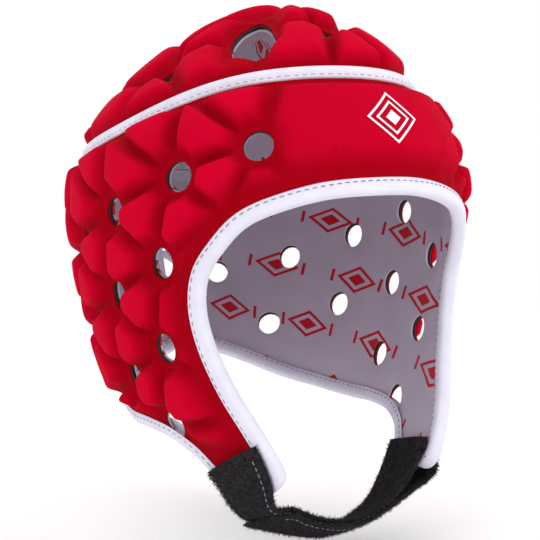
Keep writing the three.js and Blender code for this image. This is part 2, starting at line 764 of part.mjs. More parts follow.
// Chin straps
function tabPoint(drop, place, offset) {
  const row = rowAtLevel(-strapPadTop - drop * (bandDepth - strapPadTop));
  return (side) => {
    const angle = side * angleAtPlace(place * frontReach, row);
    return shellPoint(angle, row, offset);
  };
}

function tabRow(row, offset, side) {
  return strapTracks.map((t) => {
    const drop = THREE.MathUtils.lerp(row.frontDrop, row.backDrop, t);
    const place = THREE.MathUtils.lerp(row.frontPlace, row.backPlace, t);
    return tabPoint(drop, place, offset)(side);
  });
}

function freeRow(row) {
  const x = row.across * halfWidth * strapSpread;
  return strapTracks.map((t) => {
    const drop = THREE.MathUtils.lerp(row.frontDrop, row.backDrop, t);
    const y = -frontReach * THREE.MathUtils.lerp(row.front, row.back, t);
    return vector(x, y, lift - bandDepth - drop * (strapDrop - bandDepth));
  });
}

function smoothRows(rows, count) {
  const tracks = strapTracks.map((_, k) => new THREE.CatmullRomCurve3(rows.map((row) => row[k]), false, 'centripetal').getPoints(count));
  return tracks[0].map((_, step) => tracks.map((track) => track[step]));
}

function rowNormals(grid) {
  return grid.map((row, i) => row.map((_, k) => {
    const along = grid[Math.min(i + 1, grid.length - 1)][k].clone().sub(grid[Math.max(i - 1, 0)][k]);
    const over = row[Math.min(k + 1, row.length - 1)].clone().sub(row[Math.max(k - 1, 0)]);
    return over.cross(along).normalize();
  }));
}

function offsetRows(grid, distance) {
  const normals = rowNormals(grid);
  return grid.map((row, i) => row.map((point, k) => point.clone().addScaledVector(normals[i][k], distance)));
}

function stripSolid(grid, thickness) {
  const outer = offsetRows(grid, thickness);
  const rings = grid.map((row, i) => [...row, ...[...outer[i]].reverse()]);
  const profile = [...strapTracks.map((t) => [t, 0]), ...[...strapTracks].reverse().map((t) => [t, 1])];
  return ringSolid(rings, profile, false);
}

const padOffset = legTop + tapeThickness + 2 * gap;
const innerStrapOffset = legUnder - tapeThickness - 4 * gap - strapThickness;
const innerRows = smoothRows([
  ...strapOnTab.map((row) => tabRow(row, padOffset, -1)),
  ...strapFree.map(freeRow),
  ...strapEnd.map((row) => tabRow(row, innerStrapOffset, 1)),
], innerStrapSteps);
const lapped = innerRows.filter(([, { x, z }]) => x > lapStart * halfWidth && x < lapEnd * halfWidth && z < lift - bandDepth);
const outerRows = smoothRows([
  ...offsetRows(lapped, strapThickness + 2 * gap).filter((_, index) => index % lapStride === 0),
  ...strapRise.map(freeRow),
  ...[...strapOnTab].reverse().map((row) => tabRow(row, padOffset, 1)),
], outerStrapSteps);

// Nape lace: two strands that cross between the bound edges
function laceSolid() {
  const top = napeGapTop + napeGapHalfWidth + laceWidth;
  const bottom = -napeLevel - napeCornerRadius;
  const strands = [-1, 1].map((start) => {
    const rows = Array.from({ length: laceCrossings + 1 }, (_, step) => {
      const level = -THREE.MathUtils.lerp(top, bottom, step / laceCrossings);
      const row = rowAtLevel(level);
      const side = step % 2 === 0 ? start : -start;
      const angle = side * angleAtBack(laceReach - laceWidth / 2, row);
      return shellPoint(angle, row, legTop + tapeThickness + 2 * gap);
    });
    const bars = [];
    for (let step = 0; step < laceCrossings; step += 1) {
      const [from, to] = [rows[step], rows[step + 1]];
      const middle = from.clone().lerp(to, 0.5);
      const length = from.distanceTo(to) + laceWidth / 2;
      const bar = new THREE.BoxGeometry(length, laceThickness, laceWidth);
      const along = to.clone().sub(from).normalize();
      const away = vector(0, 1, 0);
      const third = along.clone().cross(away).normalize();
      bar.applyMatrix4(new THREE.Matrix4().makeBasis(along, third.clone().cross(along).normalize(), third));
      bar.translate(middle.x, middle.y + laceThickness, middle.z);
      bars.push(toSolid(bar));
    }
    return bars;
  });
  const [first, ...rest] = strands.flat();
  return rest.reduce((joined, bar) => joined.add(bar), first);
}

// Finishes
const finishes = {
  red: { color: 0xd8052f, roughness: 0.62, metalness: 0 },
  lining: { color: 0x85788a, roughness: 0.8, metalness: 0 },
  binding: { color: 0xe6e6f4, roughness: 0.7, metalness: 0 },
  tape: { color: 0xb5afba, roughness: 0.7, metalness: 0 },
  strap: { color: 0x232124, roughness: 0.95, metalness: 0 },
};

function meshOf(name, solid, finish) {
  const { vertProperties, triVerts } = solid.getMesh();
  const geometry = new THREE.BufferGeometry();
  geometry.setAttribute('position', new THREE.BufferAttribute(vertProperties, 3));
  geometry.setIndex(new THREE.BufferAttribute(triVerts, 1));
  geometry.computeVertexNormals();
  const mesh = new THREE.Mesh(geometry, new THREE.MeshStandardMaterial(finishes[finish]));
  mesh.name = name;
  return mesh;
}

const without = (solid, cutters) => cutters.reduce((left, cutter) => left.subtract(cutter), solid);
const keeper = sideKeeper();
function edgeClearances(profileOf) {
  return [
    napeCutter(),
    sweptSolid(faceSweep, profileOf(faceBindingWidth, beyondEdge), false),
    sweptSolid(neckSweep, profileOf(neckBindingWidth, beyondNape), false),
    ...neckSides.map((stations) => sweptSolid(stations, offcutClearance, false)),
  ];
}

const bandFoam = sheetSolid(bandCells(), bandChart(seamMargin), 0, -grooveFoam, true);
const bandCloth = sheetSolid(bandCells(), bandChart(gap), liningTop, liningBottom, false);
const band = without(bandFoam.intersect(keeper), edgeClearances(foamClearance));
const bandLining = without(bandCloth.intersect(keeper), edgeClearances(liningClearance));
const crown = sheetSolid(crownCells(), crownChart(seamMargin), 0, -grooveFoam, true);
const crownLining = sheetSolid(crownCells(), crownChart(seamMargin), liningTop, liningBottom, false);

const cap = new THREE.Group();
cap.name = 'scrum_cap';
cap.add(
  meshOf('crown_panel', crown, 'red'),
  meshOf('band_panel', band, 'red'),
  meshOf('crown_lining', crownLining, 'lining'),
  meshOf('band_lining', bandLining, 'lining'),
  meshOf('crown_binding', sweptSolid(seamSweep, seamProfile, true), 'binding'),
  meshOf('seam_tape', sweptSolid(seamSweep, innerTapeProfile, true), 'tape'),
  meshOf('face_binding', sweptSolid(endsApart(facePath), bindingProfile(faceBindingWidth), false), 'binding'),
  meshOf('neck_binding', sweptSolid(endsApart(neckPath), bindingProfile(neckBindingWidth), false), 'binding'),
  meshOf('strap_inner', stripSolid(innerRows, strapThickness), 'strap'),
  meshOf('strap_outer', stripSolid(outerRows, strapThickness), 'strap'),
  meshOf('nape_lace', laceSolid(), 'binding'),
);

export default cap;
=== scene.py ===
import math

import bpy
import numpy as np
from mathutils import Matrix, Vector


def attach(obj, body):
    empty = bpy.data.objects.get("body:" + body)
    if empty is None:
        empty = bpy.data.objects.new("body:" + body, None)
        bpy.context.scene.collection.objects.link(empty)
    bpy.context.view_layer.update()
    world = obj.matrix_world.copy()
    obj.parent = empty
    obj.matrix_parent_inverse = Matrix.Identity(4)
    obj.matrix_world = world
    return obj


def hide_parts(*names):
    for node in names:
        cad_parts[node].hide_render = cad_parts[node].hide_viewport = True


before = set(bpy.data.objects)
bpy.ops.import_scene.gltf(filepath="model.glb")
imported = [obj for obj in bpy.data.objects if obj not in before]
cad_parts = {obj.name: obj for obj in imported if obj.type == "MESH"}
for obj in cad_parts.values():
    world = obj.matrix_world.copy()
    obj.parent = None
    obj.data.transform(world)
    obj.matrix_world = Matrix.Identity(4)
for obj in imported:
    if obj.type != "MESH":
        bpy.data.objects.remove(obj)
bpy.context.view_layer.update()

MM = 0.001

# Shell at the bottom of the grooves
HALF_WIDTH = 88
FRONT_REACH = 104
BACK_REACH = 115
CROWN_HEIGHT = 79
BAND_DEPTH = 138

# Thicknesses
GROOVE_FOAM = 4
BLOCK_RISE = 7
PAD_RISE = 5
LINING_TOP = -4.6
LINING_THICKNESS = 1
STRAP_THICKNESS = 2.2
LIFT = -73.4

# Vents: size, lip and dip, and how much of the blocks' rise is lost beside them
VENT_RADIUS = 6.8
VENT_LIP = 1.4
VENT_DIP = 1.1
INSIDE_DIP = 0.7
VENT_FADE = (1, 8)
VENT_FRONT_LOSS = 0.55
VENT_REAR_LOSS = 0.3
VENT_REAR_SPREAD = (-60, 0)
VENT_DIP_FADE = (0, 5)

# Padding: how its blocks round and fade towards the seam, the edges and the straps
BLOCK_ROUNDING = 2.2
BLOCK_SHOULDER = 0.46
SHOULDER_PART = 0.82
DOME_PART = 0.18
PADDING_WAVE = 0.22
ROLLED_EDGE = 0.9
EDGE_PINCH = 1.5
BAND_SEAM_FADE = (4.6, 12.5)
CROWN_SEAM_FADE = (2.6, 8.5)
FACE_FADE = (8.5, 19)
NECK_FADE = (6, 14)
PINCH_FADE = (5, 14)
PAD_FADE = (1.5, 8.5)
STRAP_FADE = (-6, 8)
REAR_SOFTENING = 0.9
REAR_SPREAD = (-35, 5)

# Reach that turns an angle into a length of knit
SHELL_REACH = 85

# Lining and how far both sheets stay inside the cap's edges
LINING_WAVE = 0.25
LINING_MARGIN = 0.3
LINING_REACH = 80
SHELL_TRIM = 1.8
SHELL_CLEAR = 0.9
LINING_FACE_TRIM = 1.2
LINING_NECK_TRIM = 1
LINING_CLEAR = 0.7

# Seam between the crown and the band
SEAM_FRONT = 39
SEAM_BACK = 14
SEAM_TURN_ANGLE = 75
SEAM_TURN_SPREAD = 14
SEAM_TAPE_WIDTH = 6.5
SEAM_MARGIN = 1.5

# Edges
FACE_BINDING_WIDTH = 5.6
NECK_BINDING_WIDTH = 5.4
NAPE_GAP_HALF_WIDTH = 5
NAPE_GAP_TOP = 18
NAPE_CORNER_RADIUS = 11
STRAP_PAD_TOP = 118
STRAP_DROP = 161

# Sections from the top down: height as a share of CROWN_HEIGHT or BAND_DEPTH, then shares of
# HALF_WIDTH, FRONT_REACH and BACK_REACH
SECTIONS = [
    # height, width, front, back
    (1.0, 0, 0, 0),
    (0.955, 0.16, 0.25, 0.35),
    (0.86, 0.33, 0.45, 0.56),
    (0.72, 0.5, 0.635, 0.745),
    (0.54, 0.675, 0.79, 0.88),
    (0.34, 0.83, 0.91, 0.955),
    (0.13, 0.955, 0.98, 0.993),
    (-0.08, 1.0, 1.025, 0.995),
    (-0.22, 0.985, 1.08, 0.97),
    (-0.36, 0.957, 1.13, 0.935),
    (-0.5, 0.917, 1.15, 0.875),
    (-0.64, 0.868, 1.15, 0.79),
    (-0.78, 0.8, 1.15, 0.69),
    (-0.9, 0.72, 1.15, 0.59),
    (-1.0, 0.63, 1.15, 0.5),
    (-1.12, 0.5, 1.15, 0.4),
]

# Groove crossings of the band: angle from the face and height; None is on the crown seam
BAND_NODES = [
    [(36, None), (64, None), (89, None), (111, None), (134, None), (157, None), (180, None)],
    [(38.5, 0.1), (60.5, -0.025), (84.5, -0.12), (106.5, -0.205), (131, -0.29), (160, -0.35), (180, -0.37)],
    [(48, -0.155), (69, -0.295), (88.5, -0.4), (111.5, -0.49), (141, -0.575), (166, -0.63), (180, -0.65)],
    [(50, -0.46), (73.5, -0.57), (89.5, -0.68), (114, -0.78), (146, -0.87), (168, -0.9), (180, -0.92)],
    [(50, -0.76), (78.5, -0.83), (97, -0.98), (122, -1.03)],
    [(50, -1.1), (82, -1.11)],
]
BAND_VENTS = [(), (0, 5), (1, 4), (1, 2), (1, 1), ()]
PAD_NODES = [[(0, None), (18, None)], [(0, 0.1), (19, 0.1)], [(0, -0.25), (21, -0.25)]]

# Groove crossings of the crown on the wearer's left: share of the way to the seam, angle from the
# face, and half the width and length of the vent there
CROWN_NODES = {
    "seam_brow": (1, 14, 0, 0),
    "seam_temple": (1, 40, 0, 0),
    "seam_side": (1, 66, 0, 0),
    "seam_ear": (1, 91, 0, 0),
    "seam_behind_ear": (1, 115, 0, 0),
    "seam_rear": (1, 138, 0, 0),
    "seam_near_nape": (1, 160, 0, 0),
    "seam_nape": (1, 180, 0, 0),
    "brow": (0.58, 0, 6, 6),
    "temple": (0.635, 49, 10.5, 28.5),
    "ear": (0.72, 88, 6, 6),
    "behind_ear": (0.78, 120, 6, 6),
    "rear": (0.72, 152, 6.5, 6.5),
    "top_front": (0.22, 0, 0, 0),
    "top_temple": (0.24, 52, 0, 0),
    "top_side": (0.36, 100, 6.5, 6.5),
    "top_rear": (0.34, 148, 0, 0),
}
# Blocks of the crown by their corners; a dash marks a corner on the wearer's right
CROWN_SIDE_BLOCKS = [
    ("brow", "seam_brow", "seam_temple", "temple"),
    ("temple", "seam_temple", "seam_side", "ear"),
    ("ear", "seam_side", "seam_ear"),
    ("ear", "seam_ear", "seam_behind_ear", "behind_ear"),
    ("behind_ear", "seam_behind_ear", "seam_rear"),
    ("behind_ear", "seam_rear", "seam_near_nape", "rear"),
    ("rear", "seam_near_nape", "seam_nape"),
    ("top_front", "brow", "temple", "top_temple"),
    ("top_temple", "temple", "ear"),
    ("top_temple", "ear", "top_side"),
    ("top_side", "ear", "behind_ear"),
    ("top_side", "behind_ear", "rear", "top_rear"),
]
CROWN_MIDDLE_BLOCKS = [
    ("brow", "seam_brow", "-seam_brow"),
    ("rear", "seam_nape", "-rear"),
    ("top_rear", "rear", "-rear", "-top_rear"),
    ("top_front", "top_temple", "top_side", "top_rear", "-top_rear", "-top_side", "-top_temple"),
]

# Edge of the cap from its side: forward as a share of a reach, and down as a share of BAND_DEPTH
FACE_OUTLINE = [
    (1.2, 0.083), (1.055, 0.088), (0.895, 0.133), (0.777, 0.184), (0.687, 0.259), (0.605, 0.345),
    (0.575, 0.445), (0.59, 0.565), (0.635, 0.686), (0.7, 0.802), (0.741, 0.91), (0.745, 0.97), (0.69, 1.01),
    (0.58, 1.02),
]
NECK_OUTLINE = [
    (0.58, 1.02), (0.46, 1.015), (0.385, 0.985), (0.315, 0.925), (0.2, 0.877), (0.05, 0.857),
    (-0.14, 0.845), (-0.36, 0.815), (-0.54, 0.77), (-0.7, 0.7), (-0.86, 0.6),
]

# Chin straps: drops and forward places of the front and the back edge on the tabs, first the near
# one; the free rows begin with their place across
STRAP_ON_TAB = [
    (0, 0.75, 0.71, 0.385),
    (0.45, 0.9, 0.72, 0.38),
    (0.85, 1.02, 0.715, 0.385),
]
OUTER_ON_TAB = [
    (0.55, 0.85, 0.66, 0.385),
    (0.85, 0.97, 0.68, 0.38),
    (1.02, 1.06, 0.7, 0.385),
]
STRAP_FREE = [
    (-0.86, 0.36, 0.76, 0.69, 0.39),
    (-0.66, 0.43, 0.94, 0.665, 0.395),
    (-0.34, 0.73, 1.14, 0.65, 0.4),
    (0.04, 0.88, 1.3, 0.64, 0.4),
    (0.38, 0.72, 1.12, 0.64, 0.395),
    (0.63, 0.38, 0.82, 0.645, 0.385),
]
STRAP_END = [
    # on the inner side of the far tab
    (0.93, 1.03, 0.715, 0.385),
    (0.5, 0.88, 0.72, 0.38),
]
STRAP_RISE = [
    (0.78, 0.45, 0.88, 0.66, 0.37),
    (0.97, 0.2, 0.4, 0.68, 0.37),
]


def smooth_step(value, low, high):
    t = np.clip((np.asarray(value, float) - low) / (high - low), 0, 1)
    return t * t * (3 - 2 * t)


def unit(vectors):
    return vectors / np.linalg.norm(vectors, axis=-1, keepdims=True)


def blend(first, last, start, end, t):
    return (first * (end - t) + last * (t - start)) / (end - start)


def smooth_line(points, count):
    """Points along a centripetal Catmull-Rom curve, with count steps in each span."""
    points = np.asarray(points, float)
    padded = np.vstack([2 * points[0] - points[1], points, 2 * points[-1] - points[-2]])
    line = []
    for i in range(len(points) - 1):
        p0, p1, p2, p3 = padded[i:i + 4]
        k = np.concatenate([[0], np.cumsum(np.linalg.norm(np.diff(padded[i:i + 4], axis=0), axis=1) ** 0.5)])
        for t in np.linspace(k[1], k[2], count, endpoint=False):
            first = blend(p0, p1, k[0], k[1], t)
            middle = blend(p1, p2, k[1], k[2], t)
            last = blend(p2, p3, k[2], k[3], t)
            before = blend(first, middle, k[0], k[2], t)
            after = blend(middle, last, k[1], k[3], t)
            line.append(blend(before, after, k[1], k[2], t))
    line.append(points[-1])
    return np.array(line)


def lengths_along(points):
    """The length of a line from its start to each of its points."""
    return np.concatenate([[0], np.cumsum(np.linalg.norm(np.diff(points, axis=0), axis=1))])


def read_along(places, lengths, values):
    """Rows of values, read at places along a line."""
    return np.stack([np.interp(places, lengths, values[:, k]) for k in range(values.shape[1])], axis=1)


def row_sums(first, second):
    """The dot product of each pair of rows."""
    return (first * second).sum(axis=1)


# Shell
def dense_sections():
    table = [(h * (CROWN_HEIGHT if h > 0 else BAND_DEPTH), w * HALF_WIDTH, f * FRONT_REACH, b * BACK_REACH)
             for h, w, f, b in SECTIONS]
    before = (table[1][0], -table[1][1], -table[1][2], -table[1][3])
    table = np.array([before, *table, table[-1]])
    rows = []
    for i in range(len(SECTIONS) - 1):
        a, b, c, d = table[i:i + 4]
        for t in np.arange(0, 1, 0.02):
            rows.append(0.5 * (2 * b + (c - a) * t + (2 * a - 5 * b + 4 * c - d) * t * t
                               + (3 * b - a - 3 * c + d) * t ** 3))
    rows.append(table[-2])
    return np.array(rows)


DENSE = dense_sections()
DENSE_ROWS = np.linspace(0, len(SECTIONS) - 1, len(DENSE))
BAND_END = SECTIONS[-1][0] * BAND_DEPTH


def section_at(row):
    return [np.interp(row, DENSE_ROWS, DENSE[:, k]) for k in range(4)]


def row_at_level(level):
    return np.interp(-np.asarray(level, float), -DENSE[:, 0], DENSE_ROWS)


def shell_base(angle, row):
    level, width, front, back = section_at(row)
    turn = np.radians(angle)
    reach = np.where(np.cos(turn) > 0, front, back)
    return np.stack([width * np.sin(turn), -reach * np.cos(turn), level + LIFT + 0 * turn], axis=-1)


def shell_normal(angle, row):
    row = np.clip(row, 0.06, len(SECTIONS) - 1.05)
    along_angle = shell_base(angle + 0.3, row) - shell_base(angle - 0.3, row)
    along_row = shell_base(angle, row + 0.04) - shell_base(angle, row - 0.04)
    return unit(np.cross(along_row, along_angle))


def shell_point(angle, row, offset):
    return shell_base(angle, row) + shell_normal(angle, row) * np.asarray(offset, float)[..., None]


def seam_level(angle):
    turned = 1 / (1 + np.exp((np.abs(angle) - SEAM_TURN_ANGLE) / SEAM_TURN_SPREAD))
    return SEAM_BACK + (SEAM_FRONT - SEAM_BACK) * turned


def seam_row(angle, margin):
    row = row_at_level(seam_level(angle))
    per_row = np.linalg.norm(shell_base(angle, row + 0.05) - shell_base(angle, row - 0.05), axis=-1) / 0.1
    return row + margin / per_row


def band_chart(margin):
    def place(at):
        top = section_at(seam_row(at[..., 0], margin))[0]
        return at[..., 0], row_at_level(top + at[..., 1] * (BAND_END - top))
    return place


def crown_chart(margin):
    def place(at):
        angle = np.degrees(np.arctan2(at[..., 0], at[..., 1]))
        return angle, np.hypot(at[..., 0], at[..., 1]) * seam_row(angle, -margin)
    return place


def angle_at_place(place, row):
    front, back = section_at(row)[2:]
    return np.degrees(np.arccos(np.clip(place / np.where(place > 0, front, back), -1, 1)))


# Groove lattice: a node is a place on the chart and half the width and length of its vent
def band_node(node, side, vent=0.0):
    angle, height = node
    top = float(seam_level(angle))
    if height is None:
        return (side * angle, 0.0), vent, vent
    level = height * (CROWN_HEIGHT if height > 0 else BAND_DEPTH)
    return (side * angle, (top - level) / (top - BAND_END)), vent, vent


def crown_node(name):
    share, angle, width, length = CROWN_NODES[name.lstrip("-")]
    side = -1 if name.startswith("-") else 1
    turn = math.radians(angle)
    return (side * share * math.sin(turn), share * math.cos(turn)), width, length


def band_cells():
    cells = []
    for side in (-1, 1):
        rows = []
        for nodes, vents in zip(BAND_NODES, BAND_VENTS):
            first, last = vents if vents else (1, 0)
            rows.append([band_node(node, side, VENT_RADIUS if first <= k <= last else 0)
                         for k, node in enumerate(nodes)])
        for upper, lower in zip(rows, rows[1:]):
            for k in range(len(lower)):
                if k + 1 < len(upper):
                    cells.append(([upper[k], upper[k + 1], lower[k]], "block"))
                if k + 1 < len(lower):
                    cells.append(([upper[k + 1], lower[k], lower[k + 1]], "block"))
        pad = [[band_node(node, side) for node in row] for row in PAD_NODES]
        pad[0].append(rows[0][0])
        pad[1].append(rows[1][0])
        for upper, lower in zip(pad, pad[1:]):
            for k in range(len(upper) - 1):
                cells.append(([upper[k], upper[k + 1], lower[k]], "pad"))
                if k + 1 < len(lower):
                    cells.append(([upper[k + 1], lower[k], lower[k + 1]], "pad"))
        cells.append(([rows[1][0], pad[2][1], rows[2][0]], "block"))
        cells.append(([pad[2][1], rows[2][0], rows[3][0]], "plain"))
    return cells


def crown_cells():
    other_side = [["-" + name for name in names] for names in CROWN_SIDE_BLOCKS]
    blocks = [*CROWN_SIDE_BLOCKS, *other_side, *CROWN_MIDDLE_BLOCKS]
    return [([crown_node(name) for name in names], "block") for names in blocks]


# Edge outlines in the side view and along the shell
def outline_points(table):
    points = [(-f * (FRONT_REACH if f > 0 else BACK_REACH), -d * BAND_DEPTH + LIFT) for f, d in table]
    return smooth_line(points, 24)


FACE_SIDE = outline_points(FACE_OUTLINE)
NECK_SIDE = outline_points(NECK_OUTLINE)


def edge_path(side_points):
    path = []
    for y, z in side_points:
        row = float(row_at_level(z - LIFT))
        front, back = section_at(row)[2:]
        if -front < y < back:
            path.append((float(angle_at_place(-y, row)), row))
    return path


def even_path(path, step):
    """The path along the shell, as angle and row, with even steps in millimetres."""
    path = np.array(path)
    lengths = lengths_along(shell_base(path[:, 0], path[:, 1]))
    targets = np.linspace(0, lengths[-1], max(2, round(lengths[-1] / step) + 1))
    return read_along(targets, lengths, path)


def mirrored(path):
    return [(-angle, row) for angle, row in path][::-1]


FACE_HALF = edge_path(FACE_SIDE)
FACE_PATH = mirrored(FACE_HALF) + [(0, FACE_HALF[0][1])] + FACE_HALF
CORNER_START = NAPE_GAP_HALF_WIDTH + NAPE_CORNER_RADIUS


def angle_at_back(across, row):
    return 180 - math.degrees(math.asin(across / float(section_at(row)[1])))


def neck_half():
    side = [(angle, row) for angle, row in edge_path(NECK_SIDE) if angle < angle_at_back(CORNER_START, row)]
    level = float(section_at(side[-1][1])[0])
    outline = []
    for t in np.linspace(0, 1, 9)[1:]:
        across = (1 - t) ** 2 * CORNER_START + (1 - (1 - t) ** 2) * NAPE_GAP_HALF_WIDTH
        outline.append((across, level + t * t * NAPE_CORNER_RADIUS))
    top = -NAPE_GAP_TOP - NAPE_GAP_HALF_WIDTH
    outline.append((NAPE_GAP_HALF_WIDTH, top))
    for turn in np.linspace(0, math.pi / 2, 7)[1:]:
        outline.append((NAPE_GAP_HALF_WIDTH * math.cos(turn), top + NAPE_GAP_HALF_WIDTH * math.sin(turn)))
    for across, height in outline:
        row = float(row_at_level(height))
        side.append((angle_at_back(max(across, 0), row), row))
    return side, level


NECK_HALF, NAPE_LEVEL = neck_half()
NECK_PATH = NECK_HALF + [(360 - angle, row) for angle, row in NECK_HALF[::-1][1:]]


def side_distance(points, line):
    """Distance to an edge line in the side view."""
    nearest = np.full(len(points), 1e9)
    for y, z in line:
        nearest = np.minimum(nearest, np.hypot(points[:, 1] - y, points[:, 2] - z))
    return nearest


def nape_distance(points):
    top = LIFT - NAPE_GAP_TOP
    above = np.maximum(points[:, 2] - top + NAPE_GAP_HALF_WIDTH, 0)
    below = np.hypot(points[:, 0], above) - NAPE_GAP_HALF_WIDTH
    corner_z = NAPE_LEVEL + LIFT + NAPE_CORNER_RADIUS
    corner = smooth_step(corner_z - points[:, 2], 0, NAPE_CORNER_RADIUS) * NAPE_CORNER_RADIUS * 0.8
    return np.where(points[:, 1] > 0, below - corner, 1e9)


def inside_outline(points):
    """Which points lie inside the outline of the side view."""
    far = 400
    corners = [(far, NECK_SIDE[-1][1]), (far, far), (-far, far), (-far, FACE_SIDE[0][1])]
    polygon = [*FACE_SIDE, *NECK_SIDE[1:], *corners]
    y, z = points[:, 1], points[:, 2]
    inside = np.zeros(len(points), bool)
    for (y1, z1), (y2, z2) in zip(polygon, polygon[1:] + polygon[:1]):
        if z1 == z2:
            continue
        crosses = (z1 > z) != (z2 > z)
        inside ^= crosses & (y < y1 + (z - z1) * (y2 - y1) / (z2 - z1))
    return inside


def is_kept(points, margin_face, margin_neck):
    """Which points lie inside the outline and clear of its edges by the margins."""
    clear = side_distance(points, FACE_SIDE) > margin_face
    clear &= side_distance(points, NECK_SIDE) > margin_neck
    return inside_outline(points) & clear & (nape_distance(points) > margin_neck)


def pull_in(points, margin):
    """Points moved in the side view until they clear the edge lines by the margin."""
    moved = points.copy()
    for line in (np.array(FACE_SIDE), np.array(NECK_SIDE)):
        close = np.flatnonzero(side_distance(moved, line) < 7)
        part = moved[close]
        away = part[:, None, 1:] - line[None]
        distance = np.linalg.norm(away, axis=2)
        nearest = distance.argmin(axis=1)
        row = np.arange(len(part))
        gap = distance[row, nearest]
        sign = np.where(inside_outline(part), 1, -1)
        inward = sign[:, None] * away[row, nearest] / np.maximum(gap, 1e-6)[:, None]
        near = sign * gap < margin
        part[near, 1:] = line[nearest[near]] + inward[near] * margin
        moved[close] = part
    gap = nape_distance(moved)
    near = (gap < margin) & (moved[:, 2] < LIFT - NAPE_GAP_TOP - NAPE_GAP_HALF_WIDTH)
    moved[near, 0] += np.sign(moved[near, 0]) * (margin - gap[near])
    return moved


def kept_faces(base, faces, margin_face, margin_neck):
    """Faces inside the edges, on a new index, and the points that they use."""
    middles = np.array([base[list(face)].mean(axis=0) for face in faces])
    kept = is_kept(middles, margin_face, margin_neck)
    return used_points([face for face, keep in zip(faces, kept) if keep], len(base))


def used_points(faces, count):
    """Faces on a new index without the points that none of them uses, and the points that stay."""
    used = np.unique(np.concatenate([np.array(face) for face in faces]))
    index = np.full(count, -1)
    index[used] = np.arange(len(used))
    return [tuple(int(index[k]) for k in face) for face in faces], used


# Cells: a loop round each block, then rings towards its middle
SIDE_STEPS = 14
ARC_STEPS = 8
RING_SHARES = [0, 0.03, 0.07, 0.11, 0.16, 0.21, 0.27, 0.33, 0.4, 0.48, 0.58, 0.7, 0.85]
PLAIN_SHARES = [0, 0.35, 0.7]


def chart_jacobian(place, at):
    at = np.array(at, float)
    columns = []
    for delta in place.probe * np.eye(2):
        moved = shell_base(*place(at + delta)) - shell_base(*place(at - delta))
        columns.append(moved / (2 * np.abs(delta).sum()))
    return np.stack(columns, axis=1)


def vent_reach(node, other, lip):
    """How far a vent reaches towards another node; an oval one is long along the way to the seam."""
    at, width, length = node
    if width == length:
        return width + lip
    x, y = other[0] - at[0], other[1] - at[1]
    along = (x * at[0] + y * at[1]) / (math.hypot(x, y) * math.hypot(*at))
    wide, long = width + lip, length + lip
    return wide * long / math.hypot(wide * along, long * math.sqrt(1 - along * along))


def cell_loop(place, nodes, lip):
    """Chart points round a cell: its sides, and an arc round each vent, widened by the lip."""
    count = len(nodes)
    starts, ends, jacobians = [], [], []
    for k in range(count):
        at = np.array(nodes[k][0])
        jacobian = chart_jacobian(place, at)
        jacobians.append(jacobian)
        for cut, other in ((starts, nodes[(k + 1) % count]), (ends, nodes[k - 1])):
            delta = np.array(other[0]) - at
            reach = vent_reach(nodes[k], other[0], lip) if nodes[k][1] > 0 else 0
            cut.append(at + delta * (reach / np.linalg.norm(jacobian @ delta)))
    loop = []
    for k in range(count):
        m = (k + 1) % count
        is_forward = nodes[k][0] < nodes[m][0]
        a, b = (starts[k], ends[m]) if is_forward else (ends[m], starts[k])
        side = [a + (b - a) * (i / SIDE_STEPS) for i in range(SIDE_STEPS + 1)]
        loop.extend(side if is_forward else side[::-1])
        if nodes[m][1] == 0:
            loop.pop()
            continue
        at = np.array(nodes[m][0])
        first = jacobians[m] @ (ends[m] - at)
        last = jacobians[m] @ (starts[m] - at)
        angle = math.acos(np.clip(np.dot(unit(first), unit(last)), -1, 1))
        inverse = np.linalg.pinv(jacobians[m])
        for i in range(1, ARC_STEPS):
            t = i / ARC_STEPS
            arc = (math.sin((1 - t) * angle) * first + math.sin(t * angle) * last) / math.sin(angle)
            loop.append(at + inverse @ arc)
    return np.array(loop)


def rounded_loop(loop, points, spread):
    """The loop with its corners rounded over the given spread in millimetres."""
    steps = np.linalg.norm(np.roll(points, -1, axis=0) - points, axis=1)
    along = np.concatenate([[0], np.cumsum(steps[:-1])])
    total = steps.sum()
    gap = np.abs(along[:, None] - along[None, :])
    gap = np.minimum(gap, total - gap)
    weight = np.exp(-0.5 * (gap / spread) ** 2) * ((steps + np.roll(steps, 1)) / 2)[None, :]
    return (weight @ loop) / weight.sum(axis=1, keepdims=True)


def sheet_grid(cells, place, shares, spread, lip):
    """Points and faces over all the cells, with each point's kind and its share towards the middle."""
    chart, share_of, kind_of, faces = [], [], [], []
    count = 0
    for nodes, kind in cells:
        middle = np.mean([node[0] for node in nodes], axis=0)
        corners = shell_base(*place(np.array([node[0] for node in nodes])))
        facing = np.cross(corners[1] - corners[0], corners[2] - corners[0])
        if np.dot(facing, shell_normal(*place(middle))) < 0:
            nodes = nodes[::-1]
        rim = cell_loop(place, nodes, 0)
        loop = cell_loop(place, nodes, lip) if lip > 0 else rim
        points = shell_base(*place(loop))
        size = len(loop)
        centre = loop.mean(axis=0)
        softness = spread * (1 + REAR_SOFTENING * float(smooth_step(points[:, 1].mean(), *REAR_SPREAD)))
        for share in shares:
            ring = loop
            if share > 0 and spread > 0:
                ring = rounded_loop(loop, points, softness * min(1, share / 0.3) + 0.01)
            chart.append(rim if share == 0 else centre + (1 - share) * (ring - centre))
        chart.append(centre[None, :])
        total = size * len(shares) + 1
        share_of.extend(np.repeat(shares, size))
        share_of.append(1)
        kind_of.extend([kind] * total)
        for ring in range(len(shares) - 1):
            start = count + ring * size
            for k in range(size):
                m = (k + 1) % size
                faces.append((start + k, start + m, start + m + size, start + k + size))
        last = count + (len(shares) - 1) * size
        faces.extend((last + k, last + (k + 1) % size, count + total - 1) for k in range(size))
        count += total
    return np.vstack(chart), np.array(share_of), np.array(kind_of), faces


